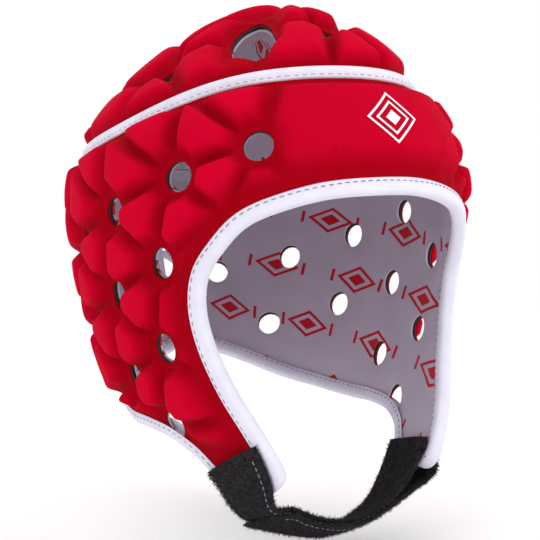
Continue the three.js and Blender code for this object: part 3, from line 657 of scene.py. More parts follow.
# Points are one where they agree to a fortieth of a millimetre, on a grid moved off the middle plane
MERGE_SCALE = 40
MERGE_SHIFT = 0.137


def merge_points(base, faces):
    """One index for points that share a place, and the faces on those indices."""
    keys = np.round(base * MERGE_SCALE + MERGE_SHIFT).astype(np.int64)
    _, first, index = np.unique(keys, axis=0, return_index=True, return_inverse=True)
    index = index.reshape(-1)
    merged = []
    for face in faces:
        kept = []
        for k in face:
            if not kept or index[k] != kept[-1]:
                kept.append(int(index[k]))
        if kept[0] == kept[-1]:
            kept.pop()
        if len(kept) > 2:
            merged.append(tuple(kept))
    return first, merged


def border_edges(faces):
    seen = {}
    for face in faces:
        for a, b in zip(face, face[1:] + face[:1]):
            seen[(a, b)] = True
    return [(a, b) for a, b in seen if (b, a) not in seen]


def new_mesh(name, points, faces, uv=None, materials=(), face_materials=None):
    """A mesh object in the scene from points in millimetres."""
    mesh = bpy.data.meshes.new(name)
    mesh.from_pydata((np.asarray(points) * MM).tolist(), [], faces)
    for material in materials:
        mesh.materials.append(material)
    if face_materials is not None:
        mesh.polygons.foreach_set("material_index", np.array(face_materials, np.int32))
    if uv is not None:
        layer = mesh.uv_layers.new(name="cloth")
        corners = np.zeros(len(mesh.loops), np.int32)
        mesh.loops.foreach_get("vertex_index", corners)
        layer.data.foreach_set("uv", (np.asarray(uv)[corners] * MM).astype(np.float32).ravel())
    mesh.update()
    piece = bpy.data.objects.new(name, mesh)
    bpy.context.scene.collection.objects.link(piece)
    return piece


def select_only(piece):
    bpy.ops.object.select_all(action="DESELECT")
    piece.select_set(True)
    bpy.context.view_layer.objects.active = piece


def finish_piece(piece, angle):
    """Smooth shading up to the given angle, on a piece that rides on the cap."""
    select_only(piece)
    bpy.ops.object.shade_smooth_by_angle(angle=math.radians(angle))
    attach(piece, "root")
    return piece


def set_attribute(piece, name, values):
    attribute = piece.data.attributes.new(name, "FLOAT", "POINT")
    attribute.data.foreach_set("value", np.asarray(values, np.float32))


def ripple(points, scale, seed):
    """Gentle unevenness of hand-made padding, from a few sine waves."""
    rng = np.random.default_rng(seed)
    total = np.zeros(len(points))
    waves = 7
    for _ in range(waves):
        direction = unit(rng.normal(size=3))
        total += np.sin(points @ direction * rng.uniform(0.6, 1.4) / scale + rng.uniform(0, 6.28))
    return total / waves


# Forehead pad: its rise follows the distance to its own border
def pad_border():
    corners = [BAND_NODES[0][0], BAND_NODES[1][0], PAD_NODES[2][1]]
    line = []
    for a, b in zip(corners, corners[1:]):
        (ua, va), (ub, vb) = band_node(a, 1)[0], band_node(b, 1)[0]
        line.extend([(ua + (ub - ua) * t, va + (vb - va) * t) for t in np.linspace(0, 1, 24)])
    line.extend([(u, band_node((u, None), 1)[0][1]) for u in np.linspace(0, corners[0][0], 40)])
    return shell_base(*band_chart(SEAM_MARGIN)(np.array(line)))


def pad_height(base):
    folded = base.copy()
    folded[:, 0] = np.abs(folded[:, 0])
    nearest = np.full(len(base), 1e9)
    for point in pad_border():
        nearest = np.minimum(nearest, np.linalg.norm(folded - point, axis=1))
    return PAD_RISE * smooth_step(nearest, *PAD_FADE)


def block_height(share):
    shoulder = smooth_step(share, 0, BLOCK_SHOULDER)
    dome = 1 - (1 - share) ** 2
    return BLOCK_RISE * (SHOULDER_PART * shoulder + DOME_PART * dome)


def vent_distance(base, cells, place):
    """Distance outside the nearest vent."""
    nearest = np.full(len(base), 1e9)
    seen = {node for nodes, _ in cells for node in nodes if node[1] > 0}
    for at, width, length in sorted(seen):
        centre = shell_base(*place(np.array(at)))
        away = base - centre
        if width == length:
            distance = np.linalg.norm(away, axis=1) - width
        else:
            inward = np.array(at) * 0.98
            along = unit(centre - shell_base(*place(inward)))
            part = away @ along
            across = np.sqrt(np.maximum((away * away).sum(axis=1) - part * part, 0))
            distance = (np.hypot(part / length, across / width) - 1) * width
        nearest = np.minimum(nearest, distance)
    return nearest


def vent_dip(base, cells, place):
    """How far the padding is pressed thinner round the vents."""
    return VENT_DIP * (1 - smooth_step(vent_distance(base, cells, place), *VENT_DIP_FADE))


def seam_distance(base):
    line = np.arange(-180, 181, 3.0)
    seam = shell_base(line, row_at_level(seam_level(line)))
    nearest = np.full(len(base), 1e9)
    for start, end in zip(seam, seam[1:]):
        along = end - start
        t = np.clip(((base - start) @ along) / (along @ along), 0, 1)
        nearest = np.minimum(nearest, np.linalg.norm(base - start - t[:, None] * along, axis=1))
    return nearest


def relief_share(base):
    """Share of the relief that is left near the strap pads and the bound edges."""
    over_strap = smooth_step(base[:, 2] - LIFT + STRAP_PAD_TOP, *STRAP_FADE)
    near_tab = np.where(base[:, 1] < 0, over_strap, 1)
    face = smooth_step(side_distance(base, FACE_SIDE), *FACE_FADE)
    neck = smooth_step(np.minimum(side_distance(base, NECK_SIDE), nape_distance(base)), *NECK_FADE)
    return near_tab * face * neck


def edge_pinch(base):
    """How much thinner the padding is where the binding squeezes it."""
    nearest = np.minimum(side_distance(base, FACE_SIDE), side_distance(base, NECK_SIDE))
    return EDGE_PINCH * (1 - smooth_step(np.minimum(nearest, nape_distance(base)), *PINCH_FADE))


def padded_shell(name, cells, place, is_band, materials):
    """A closed padded shell: cloth over blocks outside, foam in the vents and inside."""
    chart, share, kind, faces = sheet_grid(cells, place, RING_SHARES, BLOCK_ROUNDING, VENT_LIP)
    angle, row = place(chart)
    base = shell_base(angle, row)
    first, faces = merge_points(base, faces)
    share, kind, base, angle, row = share[first], kind[first], base[first], angle[first], row[first]
    normal = shell_normal(angle, row)
    height = np.where(kind == "block", block_height(share), 0)
    if is_band:
        height = np.where(kind == "pad", pad_height(base), height)
    fade_start, fade_end = BAND_SEAM_FADE if is_band else CROWN_SEAM_FADE
    seam = smooth_step(seam_distance(base), fade_start, fade_end)
    near_vent = 1 - smooth_step(vent_distance(base, cells, place), *VENT_FADE)
    rear = smooth_step(base[:, 1], *VENT_REAR_SPREAD)
    fade = 1 - (VENT_FRONT_LOSS + VENT_REAR_LOSS * rear) * near_vent
    height = height * relief_share(base) * seam * fade
    wave = PADDING_WAVE * ripple(base, 7, 3) * smooth_step(share, 0.1, 0.5)
    height = height + wave - vent_dip(base, cells, place)
    if is_band:
        faces, used = kept_faces(base, faces, SHELL_TRIM, SHELL_TRIM)
        base, normal, height, angle = base[used], normal[used], height[used], angle[used]
        base = pull_in(base, SHELL_CLEAR)
    count = len(base)
    outer = base + normal * height[:, None]
    rolled = base + normal * (height - ROLLED_EDGE)[:, None]
    foam = GROOVE_FOAM - vent_dip(base, cells, place) * INSIDE_DIP
    if is_band:
        foam = foam - edge_pinch(base)
    inner = base - normal * foam[:, None]
    points = np.vstack([outer, rolled, inner])
    all_faces = list(faces)
    slots = [0] * len(faces)
    for a, b in border_edges(faces):
        all_faces.append((b, a, a + count, b + count))
        slots.append(0)
        all_faces.append((b + count, a + count, a + 2 * count, b + 2 * count))
        slots.append(1)
    for face in faces:
        all_faces.append(tuple(k + 2 * count for k in reversed(face)))
        slots.append(1)
    all_faces, used = used_points(all_faces, len(points))
    across = np.radians(angle) * SHELL_REACH
    uv = np.tile(np.stack([across, -base[:, 2]], axis=1), (3, 1))[used]
    # Share of the blocks' rise at each point, kept as the "rise" attribute: the red cloth uses it for
    # painted shade, dark in the grooves, round the vents and on the rolled rims, lighter on the blocks' tops
    rise = np.concatenate([height / BLOCK_RISE, height * 0, height * 0])[used]
    piece = new_mesh(name, points[used], all_faces, uv, materials, slots)
    set_attribute(piece, "rise", np.clip(rise, 0, 1))
    return finish_piece(piece, 60)


def lining_sheet(name, cells, place, is_band):
    chart, _, _, faces = sheet_grid(cells, place, PLAIN_SHARES, 0, 0)
    angle, row = place(chart)
    base = shell_base(angle, row)
    first, faces = merge_points(base, faces)
    angle, row, base = angle[first], row[first], base[first]
    if is_band:
        faces, used = kept_faces(base, faces, LINING_FACE_TRIM, LINING_NECK_TRIM)
        base, angle, row = pull_in(base[used], LINING_CLEAR), angle[used], row[used]
    normal = shell_normal(angle, row)
    soft = LINING_WAVE * ripple(base, 9, 5)
    top = LINING_TOP + vent_dip(base, cells, place) * INSIDE_DIP
    if is_band:
        top = top + edge_pinch(base)
    outer = base + normal * (top + soft * 0.2)[:, None]
    inner = base + normal * (top - LINING_THICKNESS + soft)[:, None]
    count = len(base)
    all_faces = list(faces) + [tuple(k + count for k in reversed(face)) for face in faces]
    for a, b in border_edges(faces):
        all_faces.append((b, a, a + count, b + count))
    across = np.radians(angle) * LINING_REACH
    uv = np.tile(np.stack([across, -base[:, 2]], axis=1), (2, 1))
    piece = new_mesh(name, np.vstack([outer, inner]), all_faces, uv, [LINING])
    return finish_piece(piece, 50)


# Strips that follow an edge of the shell
STATION_STEP = 1.6


def edge_stations(path, closed=False):
    path = np.asarray(path, float)
    base = shell_base(path[:, 0], path[:, 1])
    if closed:
        tangent = np.roll(base, -1, axis=0) - np.roll(base, 1, axis=0)
    else:
        tangent = np.gradient(base, axis=0)
    tangent = unit(tangent)
    inward = np.cross(shell_normal(path[:, 0], path[:, 1]), tangent)
    along_angle = (shell_base(path[:, 0] + 0.1, path[:, 1]) - shell_base(path[:, 0] - 0.1, path[:, 1])) * 5
    above, below = shell_base(path[:, 0], path[:, 1] + 0.03), shell_base(path[:, 0], path[:, 1] - 0.03)
    along_row = (above - below) / 0.06
    aa = row_sums(along_angle, along_angle)
    ar = row_sums(along_angle, along_row)
    rr = row_sums(along_row, along_row)
    ia = row_sums(inward, along_angle)
    ir = row_sums(inward, along_row)
    scale = aa * rr - ar * ar
    return path, (ia * rr - ir * ar) / scale, (ir * aa - ia * ar) / scale, lengths_along(base)


def station_points(stations, inside, offset):
    path, per_angle, per_row, _ = stations
    inside = np.broadcast_to(np.asarray(inside, float), len(path))
    return shell_point(path[:, 0] + per_angle * inside, path[:, 1] + per_row * inside,
                       np.broadcast_to(np.asarray(offset, float), len(path)))


def ring_mesh(name, rings, closed, materials, around, along):
    """A tube of rings: rings is stations by profile points by three."""
    rings = np.asarray(rings)
    stations, sides = rings.shape[:2]
    faces = []
    for i in range(stations if closed else stations - 1):
        j = (i + 1) % stations
        for k in range(sides):
            m = (k + 1) % sides
            faces.append((i * sides + k, i * sides + m, j * sides + m, j * sides + k))
    if not closed:
        faces.append(tuple(range(sides))[::-1])
        faces.append(tuple((stations - 1) * sides + k for k in range(sides)))
    uv = np.stack([np.repeat(along, sides), np.tile(around, stations)], axis=1)
    piece = new_mesh(name, rings.reshape(-1, 3), faces, uv, materials)
    select_only(piece)
    bpy.ops.object.mode_set(mode="EDIT")
    bpy.ops.mesh.select_all(action="SELECT")
    bpy.ops.mesh.normals_make_consistent(inside=False)
    bpy.ops.object.mode_set(mode="OBJECT")
    return piece


def folded_tape_profile(width):
    """Outer skin round the edge, then back along the inner skin: inside distance and offset."""
    outer = [(width, 0.3), (width - 0.3, 0.75), (width - 1.0, 1.0), (width - 1.6, 0.85), (width - 2.3, 1.15),
             (width * 0.5, 1.35), (width * 0.25, 1.35), (0.4, 1.2), (-0.5, 0.7), (-1.0, -0.3), (-1.2, -1.9),
             (-1.0, -3.6), (-0.5, -4.8), (0.4, -5.4), (width * 0.25, -5.6), (width * 0.5, -5.6),
             (width - 2.0, -5.4), (width - 1.3, -5.2), (width - 0.4, -5.1), (width, -4.9)]
    inner = [(width - 0.3, -4.5), (0.8, -4.45), (-0.3, -3.6), (-0.4, -1.9), (-0.3, -0.4), (0.8, 0.2),
             (width - 0.4, 0.2)]
    return np.array(outer + inner)


# Points of the profile that are on the outer skin of the fold
SKIN_POINTS = 20

# Stitches of the tapes: distance from one to the next, length and half width
CROWN_STITCH = (3.6, 2.5, 0.25)
BINDING_STITCH = (3.4, 2.3, 0.25)
INNER_BINDING_STITCH = (3.4, 2.3, 0.22)


def folded_binding(name, path, width, seed):
    stations = edge_stations(even_path(path, STATION_STEP))
    along = stations[3]
    profile = folded_tape_profile(width)
    pucker = 0.1 * np.sin(along * 2 * math.pi / 4.4) + 0.15 * np.sin(along / 11 + seed) * np.sin(along / 4.7)
    waver = 0.15 * np.sin(along / 7 + seed)
    rings = []
    for k, (inside, offset) in enumerate(profile):
        is_skin = k < SKIN_POINTS
        grow = 0
        if is_skin and offset > 0.9:
            grow = pucker
        if is_skin and offset < -5.2:
            grow = -pucker
        rings.append(station_points(stations, inside + (waver if is_skin else 0), offset + grow))
    rings = np.stack(rings, axis=1)
    piece = ring_mesh(name, rings, False, [WHITE], lengths_along(profile), along)
    return finish_piece(piece, 70)


def stitch_line(name, stations, inside, offset, spacing, length, radius):
    """Short sewn dashes, each a slim capsule half sunk in the cloth."""
    centre = station_points(stations, inside, offset)
    path, _, _, along = stations
    normal = shell_normal(path[:, 0], path[:, 1])
    places = np.arange(spacing, along[-1] - spacing / 2, spacing)
    at = read_along(places, along, centre)
    up = unit(read_along(places, along, normal))
    front = unit(read_along(places + length / 2, along, centre) - at)
    return dashes(name, at, front, np.cross(up, front), up, length, radius)


def dashes(name, at, front, side, up, length, radius):
    sides = 6
    profile = [(-0.5, 0.0), (-0.42, 0.65), (-0.25, 1.0), (0.25, 1.0), (0.42, 0.65), (0.5, 0.0)]
    points, faces = [], []
    for number in range(len(at)):
        start = len(points)
        for along, size in profile[1:-1]:
            for k in range(sides):
                turn = 2 * math.pi * k / sides
                around = side[number] * math.cos(turn) * 1.3 + up[number] * math.sin(turn)
                points.append(at[number] + front[number] * along * length + around * radius * size)
        first, last = len(points), len(points) + 1
        points.extend([at[number] - front[number] * length / 2, at[number] + front[number] * length / 2])
        for ring in range(3):
            for k in range(sides):
                m = (k + 1) % sides
                a, b = start + ring * sides, start + (ring + 1) * sides
                faces.append((a + k, a + m, b + m, b + k))
        for k in range(sides):
            m = (k + 1) % sides
            faces.append((start + m, start + k, first))
            faces.append((start + 3 * sides + k, start + 3 * sides + m, last))
    return finish_piece(new_mesh(name, np.array(points), faces, None, [THREAD]), 80)


# Finishes
class Signal:
    """A shader socket that takes part in sums."""

    def __init__(self, finish, socket):
        self.finish = finish
        self.socket = socket

    def math(self, operation, *values):
        return self.finish.node("ShaderNodeMath", {"operation": operation}, dict(enumerate(values)))

    def __add__(self, other):
        return self.math("ADD", self, other)

    def __radd__(self, other):
        return self.math("ADD", other, self)

    def __sub__(self, other):
        return self.math("SUBTRACT", self, other)

    def __rsub__(self, other):
        return self.math("SUBTRACT", other, self)

    def __mul__(self, other):
        return self.math("MULTIPLY", self, other)

    def __rmul__(self, other):
        return self.math("MULTIPLY", other, self)

    def __truediv__(self, other):
        return self.math("DIVIDE", self, other)

    def __rtruediv__(self, other):
        return self.math("DIVIDE", other, self)

    def __lt__(self, other):
        return self.math("LESS_THAN", self, other)

    def __gt__(self, other):
        return self.math("GREATER_THAN", self, other)

    def __abs__(self):
        return self.math("ABSOLUTE", self)

    def wave(self):
        return self.math("SINE", self)

    def wrapped(self, low, high):
        return self.math("WRAP", self, high, low)

    def most(self, other):
        return self.math("MAXIMUM", self, other)


class Finish:
    """A material under construction."""

    def __init__(self, name):
        self.material = bpy.data.materials.new(name)
        self.material.use_nodes = True
        self.tree = self.material.node_tree
        self.tree.nodes.clear()

    def node(self, kind, settings, values, output=0):
        node = self.tree.nodes.new(kind)
        for key, value in settings.items():
            setattr(node, key, value)
        for key, value in values.items():
            if isinstance(value, Signal):
                self.tree.links.new(value.socket, node.inputs[key])
            else:
                node.inputs[key].default_value = value
        return Signal(self, node.outputs[output]) if node.outputs else node

    def place(self):
        return self.node("ShaderNodeTexCoord", {}, {}, "Object")

    def cloth_axes(self):
        uv = self.node("ShaderNodeUVMap", {"uv_map": "cloth"}, {})
        across = self.node("ShaderNodeSeparateXYZ", {}, {0: uv})
        return across, Signal(self, across.socket.node.outputs[1])

    def attribute(self, name):
        return self.node("ShaderNodeAttribute", {"attribute_name": name}, {}, "Fac")

    def noise(self, vector, scale, detail=3.0, rough=0.55):
        values = {"Vector": vector, "Scale": scale, "Detail": detail, "Roughness": rough}
        return self.node("ShaderNodeTexNoise", {}, values)

    def blend(self, share, first, second):
        return self.node("ShaderNodeMix", {"data_type": "RGBA"}, {0: share, 6: first, 7: second}, 2)

    def bump(self, height, strength, distance):
        values = {"Height": height, "Strength": strength, "Distance": distance}
        return self.node("ShaderNodeBump", {}, values)

    def cloth(self, color, bump, roughness, sheen=0.0, specular=0.3):
        values = {"Base Color": color, "Roughness": roughness, "Normal": bump, "Sheen Weight": sheen,
                  "Sheen Roughness": 0.4, "Sheen Tint": (1, 1, 1, 1), "Specular IOR Level": specular}
        shader = self.node("ShaderNodeBsdfPrincipled", {}, values)
        self.node("ShaderNodeOutputMaterial", {}, {0: shader})
        return self.material


def red_cloth():
    """Fine knitted stretch cloth with narrow ribs down the cap; its colour carries painted shade, darker red
    in the grooves and lighter on the blocks' tops.
    """
    f = Finish("red_knit")
    across, _ = f.cloth_axes()
    rise = f.attribute("rise")
    ribs = (across * (2 * math.pi / 0.0011)).wave()
    grain = f.noise(f.place(), 900.0, 2.0)
    soft = f.noise(f.place(), 60.0, 3.0)
    # Painted shade: the low red goes where the padding is low, in the grooves and round the vents, and the
    # high red on the blocks' tops; the noise adds a random tone
    low = (0.27, 0.0, 0.003, 1)
    high = (0.57, 0.0, 0.022, 1)
    color = f.blend(rise * 0.75 + soft * 0.35, low, high)
    return f.cloth(color, f.bump(ribs * 0.4 + grain, 0.13, 0.0004), 0.8, 0.0, 0.02)


def lining_cloth():
    """Grey cloth printed with a dark red lozenge motif in staggered rows."""
    f = Finish("grey_print_lining")
    across, down = f.cloth_axes()
    pitch, drop = 0.046, 0.031
    tilt = math.radians(12)
    level = down * math.cos(tilt) + across * math.sin(tilt)
    along = across * math.cos(tilt) - down * math.sin(tilt)
    second = ((level + drop / 2) / (2 * drop)).wrapped(0.0, 1.0) > 0.5
    u = abs((along + second * (pitch / 2)).wrapped(-pitch / 2, pitch / 2))
    v = abs(level.wrapped(-drop / 2, drop / 2))
    half_length, half_height = 0.0122, 0.0078
    lozenge = u / half_length + v / half_height
    outer = (lozenge < 1.0) * (lozenge > 0.76)
    inner = lozenge < 0.46
    bar = (u < 0.0155) * (u > 0.0138) * (v < 0.0036)
    ink = outer.most(inner).most(bar)
    weave = (across * (2 * math.pi / 0.0008)).wave() * (down * (2 * math.pi / 0.0008)).wave()
    soft = f.noise(f.place(), 45.0, 3.0)
    grey = f.blend(soft, (0.42, 0.36, 0.45, 1), (0.53, 0.46, 0.56, 1))
    color = f.blend(ink, grey, (0.50, 0.0, 0.012, 1))
    return f.cloth(color, f.bump(weave * 0.4 + soft, 0.2, 0.0003), 0.62, 0.1)


def white_tape():
    f = Finish("white_binding")
    along, around = f.cloth_axes()
    twill = ((along + around) * (2 * math.pi / 0.0010)).wave()
    soft = f.noise(f.place(), 120.0, 3.0)
    color = f.blend(soft, (0.66, 0.64, 0.76, 1), (0.80, 0.78, 0.90, 1))
    return f.cloth(color, f.bump(twill * 0.4 + soft, 0.25, 0.0003), 0.6, 0.15)


def grey_tape():
    f = Finish("grey_seam_tape")
    along, _ = f.cloth_axes()
    rib = (along * (2 * math.pi / 0.0012)).wave()
    soft = f.noise(f.place(), 150.0, 3.0)
    color = f.blend(soft, (0.42, 0.40, 0.46, 1), (0.55, 0.53, 0.60, 1))
    return f.cloth(color, f.bump(rib, 0.3, 0.0003), 0.7, 0.1)


def black_loop():
    f = Finish("black_loop_cloth")
    pile = f.noise(f.place(), 1100.0, 4.0, 0.75)
    tufts = f.noise(f.place(), 330.0, 3.0, 0.6)
    speckle = (pile * 2.4 + tufts * 1.2 - 1.45).most(0.0)
    color = f.blend(speckle, (0.003, 0.003, 0.004, 1), (0.07, 0.063, 0.07, 1))
    return f.cloth(color, f.bump(pile + tufts * 0.7, 1.0, 0.0015), 0.95, 0.0, 0.1)


def plain_finish(name, scale, detail, grain, dark, light, depth, surface):
    """One noise that gives both the shade and the bump."""
    f = Finish(name)
    tone = f.noise(f.place(), scale, detail, grain)
    strength, distance = depth
    return f.cloth(f.blend(tone, dark, light), f.bump(tone, strength, distance), *surface)


RED = red_cloth()
FOAM = plain_finish("black_foam", 1500.0, 4.0, 0.7, (0.008, 0.008, 0.009, 1), (0.03, 0.03, 0.032, 1),
                    (0.5, 0.0003), (0.85,))
LINING = lining_cloth()
WHITE = white_tape()
GREY = grey_tape()
THREAD = plain_finish("grey_thread", 2500.0, 2.0, 0.55, (0.20, 0.20, 0.24, 1), (0.34, 0.34, 0.40, 1),
                      (0.4, 0.0002), (0.7, 0.1))
LOOP = black_loop()
FUZZ = plain_finish("black_fuzz", 700.0, 2.0, 0.55, (0.004, 0.004, 0.005, 1), (0.075, 0.068, 0.075, 1),
                    (0.2, 0.0002), (0.9, 0.0, 0.1))
PRINT = plain_finish("white_print", 900.0, 3.0, 0.55, (0.78, 0.74, 0.76, 1), (0.90, 0.88, 0.90, 1),
                     (0.2, 0.0002), (0.55,))


# Small steps on the charts that measure how the shell stretches there
CROWN_PROBE = (0.002, 0.002)
BAND_PROBE = (0.05, 0.002)


def probed(chart, probe):
    chart.probe = np.array(probe)
    return chart


def make_shells():
    crown_place = probed(crown_chart(SEAM_MARGIN), CROWN_PROBE)
    crown = padded_shell("crown_blocks", crown_cells(), crown_place, False, [RED, FOAM])
    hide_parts("crown_panel")
    band_place = probed(band_chart(SEAM_MARGIN), BAND_PROBE)
    band = padded_shell("band_blocks", band_cells(), band_place, True, [RED, FOAM])
    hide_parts("band_panel")


def make_linings():
    crown_place = probed(crown_chart(LINING_MARGIN), CROWN_PROBE)
    crown = lining_sheet("crown_lining_cloth", crown_cells(), crown_place, False)
    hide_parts("crown_lining")
    band_place = probed(band_chart(LINING_MARGIN), BAND_PROBE)
    band = lining_sheet("band_lining_cloth", band_cells(), band_place, True)
    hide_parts("band_lining")


def make_crown_binding():
    line = [(angle, float(row_at_level(seam_level(angle)))) for angle in np.linspace(-180, 180, 721)]
    path = even_path(line, STATION_STEP)[:-1]
    stations = edge_stations(path, closed=True)
    along = stations[3]
    half = SEAM_TAPE_WIDTH / 2
    profile = [(half + 0.2, 0.2), (half, 0.9), (half - 0.7, 1.5), (half - 1.2, 1.35), (half - 1.8, 1.9),
               (0, 2.7), (-half + 1.2, 2.5), (-half + 0.3, 1.7), (-half - 0.1, 0.3), (-half + 0.5, -1.0),
               (half - 0.5, -1.0)]
    rings = []
    for inside, offset in profile:
        pucker = 0.12 * np.sin(along * 2 * math.pi / 4.4) if 0 < inside < half and offset > 1 else 0
        rings.append(station_points(stations, -inside, offset + pucker))
    around = np.linspace(0, 18, len(profile))
    piece = ring_mesh("crown_binding_tape", np.stack(rings, axis=1), True, [WHITE], around, along)
    finish_piece(piece, 70)
    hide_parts("crown_binding")
    stitch_line("crown_binding_stitches", stations, 1.1 - half, 1.38, *CROWN_STITCH)
    inner = [(6.5, -6.0), (6.3, -6.9), (1.2, -7.1), (0.5, -7.9)]
    inner += [(-inside, offset) for inside, offset in reversed(inner)]
    rings = np.stack([station_points(stations, i, o) for i, o in inner], axis=1)
    tape = ring_mesh("inner_seam_tape", rings, True, [GREY], np.linspace(0, 28, len(inner)), along)
    finish_piece(tape, 50)
    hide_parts("seam_tape")
    stitch_line("inner_tape_stitches", stations, 4.6, -7.0, *CROWN_STITCH)


def make_edge_bindings():
    face = folded_binding("face_binding_tape", FACE_PATH, FACE_BINDING_WIDTH, 1)
    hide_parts("face_binding")
    neck = folded_binding("neck_binding_tape", NECK_PATH, NECK_BINDING_WIDTH, 4)
    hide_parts("neck_binding")
    widths = (("face", FACE_PATH, FACE_BINDING_WIDTH), ("neck", NECK_PATH, NECK_BINDING_WIDTH))
    for name, path, width in widths:
        stations = edge_stations(even_path(path, STATION_STEP))
        stitch_line(name + "_outer_stitches", stations, width - 1.6, 0.93, *BINDING_STITCH)
        stitch_line(name + "_inner_stitches", stations, width - 1.4, -5.25, *INNER_BINDING_STITCH)


# Chin straps: points across, offsets from the tab's outer and inner side, step between rows, and how
# wide the free rows spread
ACROSS = 13
PAD_OFFSET = 1.6
INNER_OFFSET = -6.0
STRAP_STEP = 1.6
STRAP_SPREAD = 0.55

# Thickness left at a strap's edge and next to it, its edge's bulge and its lumps
EDGE_ROUNDING = 0.45
SHOULDER_ROUNDING = 0.85
EDGE_BULGE = 0.35
STRAP_LUMPS = 0.16

# Where the outer strap laps the inner one, as shares of the half width, and its gap
LAP_START = -0.46
LAP_END = 0.28
LAP_GAP = 0.5
LAP_STRIDE = 6

# Fibres of the loop cloth, and the columns and spacing of the strap's stitches
FIBRE_HALF_WIDTH = 0.11
FIBRE_LENGTH = 1.25
EDGE_COLUMNS = (1, ACROSS - 2)
STRAP_STITCH_PITCH = 3.1
STRAP_STITCH_LENGTH = 2.1
STITCH_RADIUS = 0.2


def tab_row(front_drop, back_drop, front_place, back_place, offset, side):
    row_points = []
    for t in np.linspace(0, 1, ACROSS):
        drop = front_drop + (back_drop - front_drop) * t
        place = (front_place + (back_place - front_place) * t) * FRONT_REACH
        row = float(row_at_level(-STRAP_PAD_TOP - drop * (BAND_DEPTH - STRAP_PAD_TOP)))
        angle = side * float(angle_at_place(place, row))
        row_points.append(shell_point(np.array(angle), np.array(row), offset))
    return np.array(row_points)


def free_row(across, front_drop, back_drop, front, back):
    row_points = []
    for t in np.linspace(0, 1, ACROSS):
        drop = front_drop + (back_drop - front_drop) * t
        place = front + (back - front) * t
        z = LIFT - BAND_DEPTH - drop * (STRAP_DROP - BAND_DEPTH)
        row_points.append((across * HALF_WIDTH * STRAP_SPREAD, -FRONT_REACH * place, z))
    return np.array(row_points)


def smooth_rows(rows):
    """Rows across a strap joined by smooth lines, then spaced evenly by the middle line."""
    rows = np.array(rows)
    tracks = np.stack([smooth_line(rows[:, k], 12) for k in range(rows.shape[1])], axis=1)
    middle = tracks[:, tracks.shape[1] // 2]
    lengths = lengths_along(middle)
    targets = np.linspace(0, lengths[-1], round(lengths[-1] / STRAP_STEP) + 1)
    even = read_along(targets, lengths, tracks.reshape(len(tracks), -1))
    return even.reshape(len(targets), -1, 3), targets


def row_normals(grid):
    along = np.gradient(grid, axis=0)
    over = np.gradient(grid, axis=1)
    return unit(np.cross(over, along))


def strap_piece(name, grid, along):
    """A strip of loop cloth with soft rounded edges."""
    normal = row_normals(grid)
    over = unit(np.gradient(grid, axis=1))
    rounding = np.ones(ACROSS)
    rounding[[0, -1]] = EDGE_ROUNDING
    rounding[[1, -2]] = SHOULDER_ROUNDING
    half = (STRAP_THICKNESS / 2) * rounding[None, :, None]
    middle = grid + normal * STRAP_THICKNESS / 2
    lumps = STRAP_LUMPS * ripple(grid.reshape(-1, 3), 1.6, 11).reshape(grid.shape[:2])[..., None]
    top = middle + normal * (half + lumps)
    under = middle - normal * (half - lumps * 0.5)
    edge_front = (middle[:, 0] - over[:, 0] * STRAP_THICKNESS * EDGE_BULGE)[:, None]
    edge_back = (middle[:, -1] + over[:, -1] * STRAP_THICKNESS * EDGE_BULGE)[:, None]
    rings = np.concatenate([edge_front, top, edge_back, under[:, ::-1]], axis=1)
    around = np.linspace(0, 80, rings.shape[1])
    piece = ring_mesh(name, rings, False, [LOOP], around, along)
    finish_piece(piece, 80)
    return piece, rings


def fuzz(name, rings, count, seed):
    """Short bent fibres that stand out of the loop cloth."""
    rng = np.random.default_rng(seed)
    stations, sides = rings.shape[:2]
    i = rng.integers(0, stations - 1, count)
    k = rng.integers(0, sides, count)
    s, t = rng.random(count)[:, None], rng.random(count)[:, None]
    m = (k + 1) % sides
    a, b, c, d = rings[i, k], rings[i + 1, k], rings[i + 1, m], rings[i, m]
    root = a * (1 - s) * (1 - t) + b * s * (1 - t) + c * s * t + d * (1 - s) * t
    out = np.cross(b - a, d - a)
    middle = rings.mean(axis=1)[i]
    out = unit(out)
    out = np.where(((root - middle) * out).sum(axis=1, keepdims=True) < 0, -out, out)
    drift = unit(rng.normal(size=(count, 3)))
    side = unit(np.cross(out, drift)) * FIBRE_HALF_WIDTH
    reach = FIBRE_LENGTH * rng.uniform(0.45, 1.0, (count, 1))
    bend = root + (out + 0.5 * drift) * reach * 0.6
    tip = root + (out * 0.75 + 1.1 * drift) * reach
    foot = root - out * 0.3
    points = np.stack([foot - side, foot + side, bend + side * 0.8, bend - side * 0.8, tip], axis=1)
    faces = []
    for n in range(count):
        s0 = n * 5
        faces.append((s0, s0 + 1, s0 + 2, s0 + 3))
        faces.append((s0 + 3, s0 + 2, s0 + 4))
    finish_piece(new_mesh(name, points.reshape(-1, 3), faces, None, [FUZZ]), 80)


def strap_stitches(name, grid, height):
    """Grey thread along the strap's edges."""
    normal = row_normals(grid)
    at, front, side, up = [], [], [], []
    for column in EDGE_COLUMNS:
        way = normal[2:-2, column]
        line = grid[2:-2, column] + way * height
        lengths = lengths_along(line)
        places = np.arange(1.5, lengths[-1] - 1.5, STRAP_STITCH_PITCH)
        here = read_along(places, lengths, line)
        at.append(here)
        front.append(unit(read_along(places + 1, lengths, line) - here))
        up.append(unit(read_along(places, lengths, way)))
        side.append(np.cross(up[-1], front[-1]))
    at, front, side, up = (np.concatenate(part) for part in (at, front, side, up))
    return dashes(name, at, front, side, up, STRAP_STITCH_LENGTH, STITCH_RADIUS)


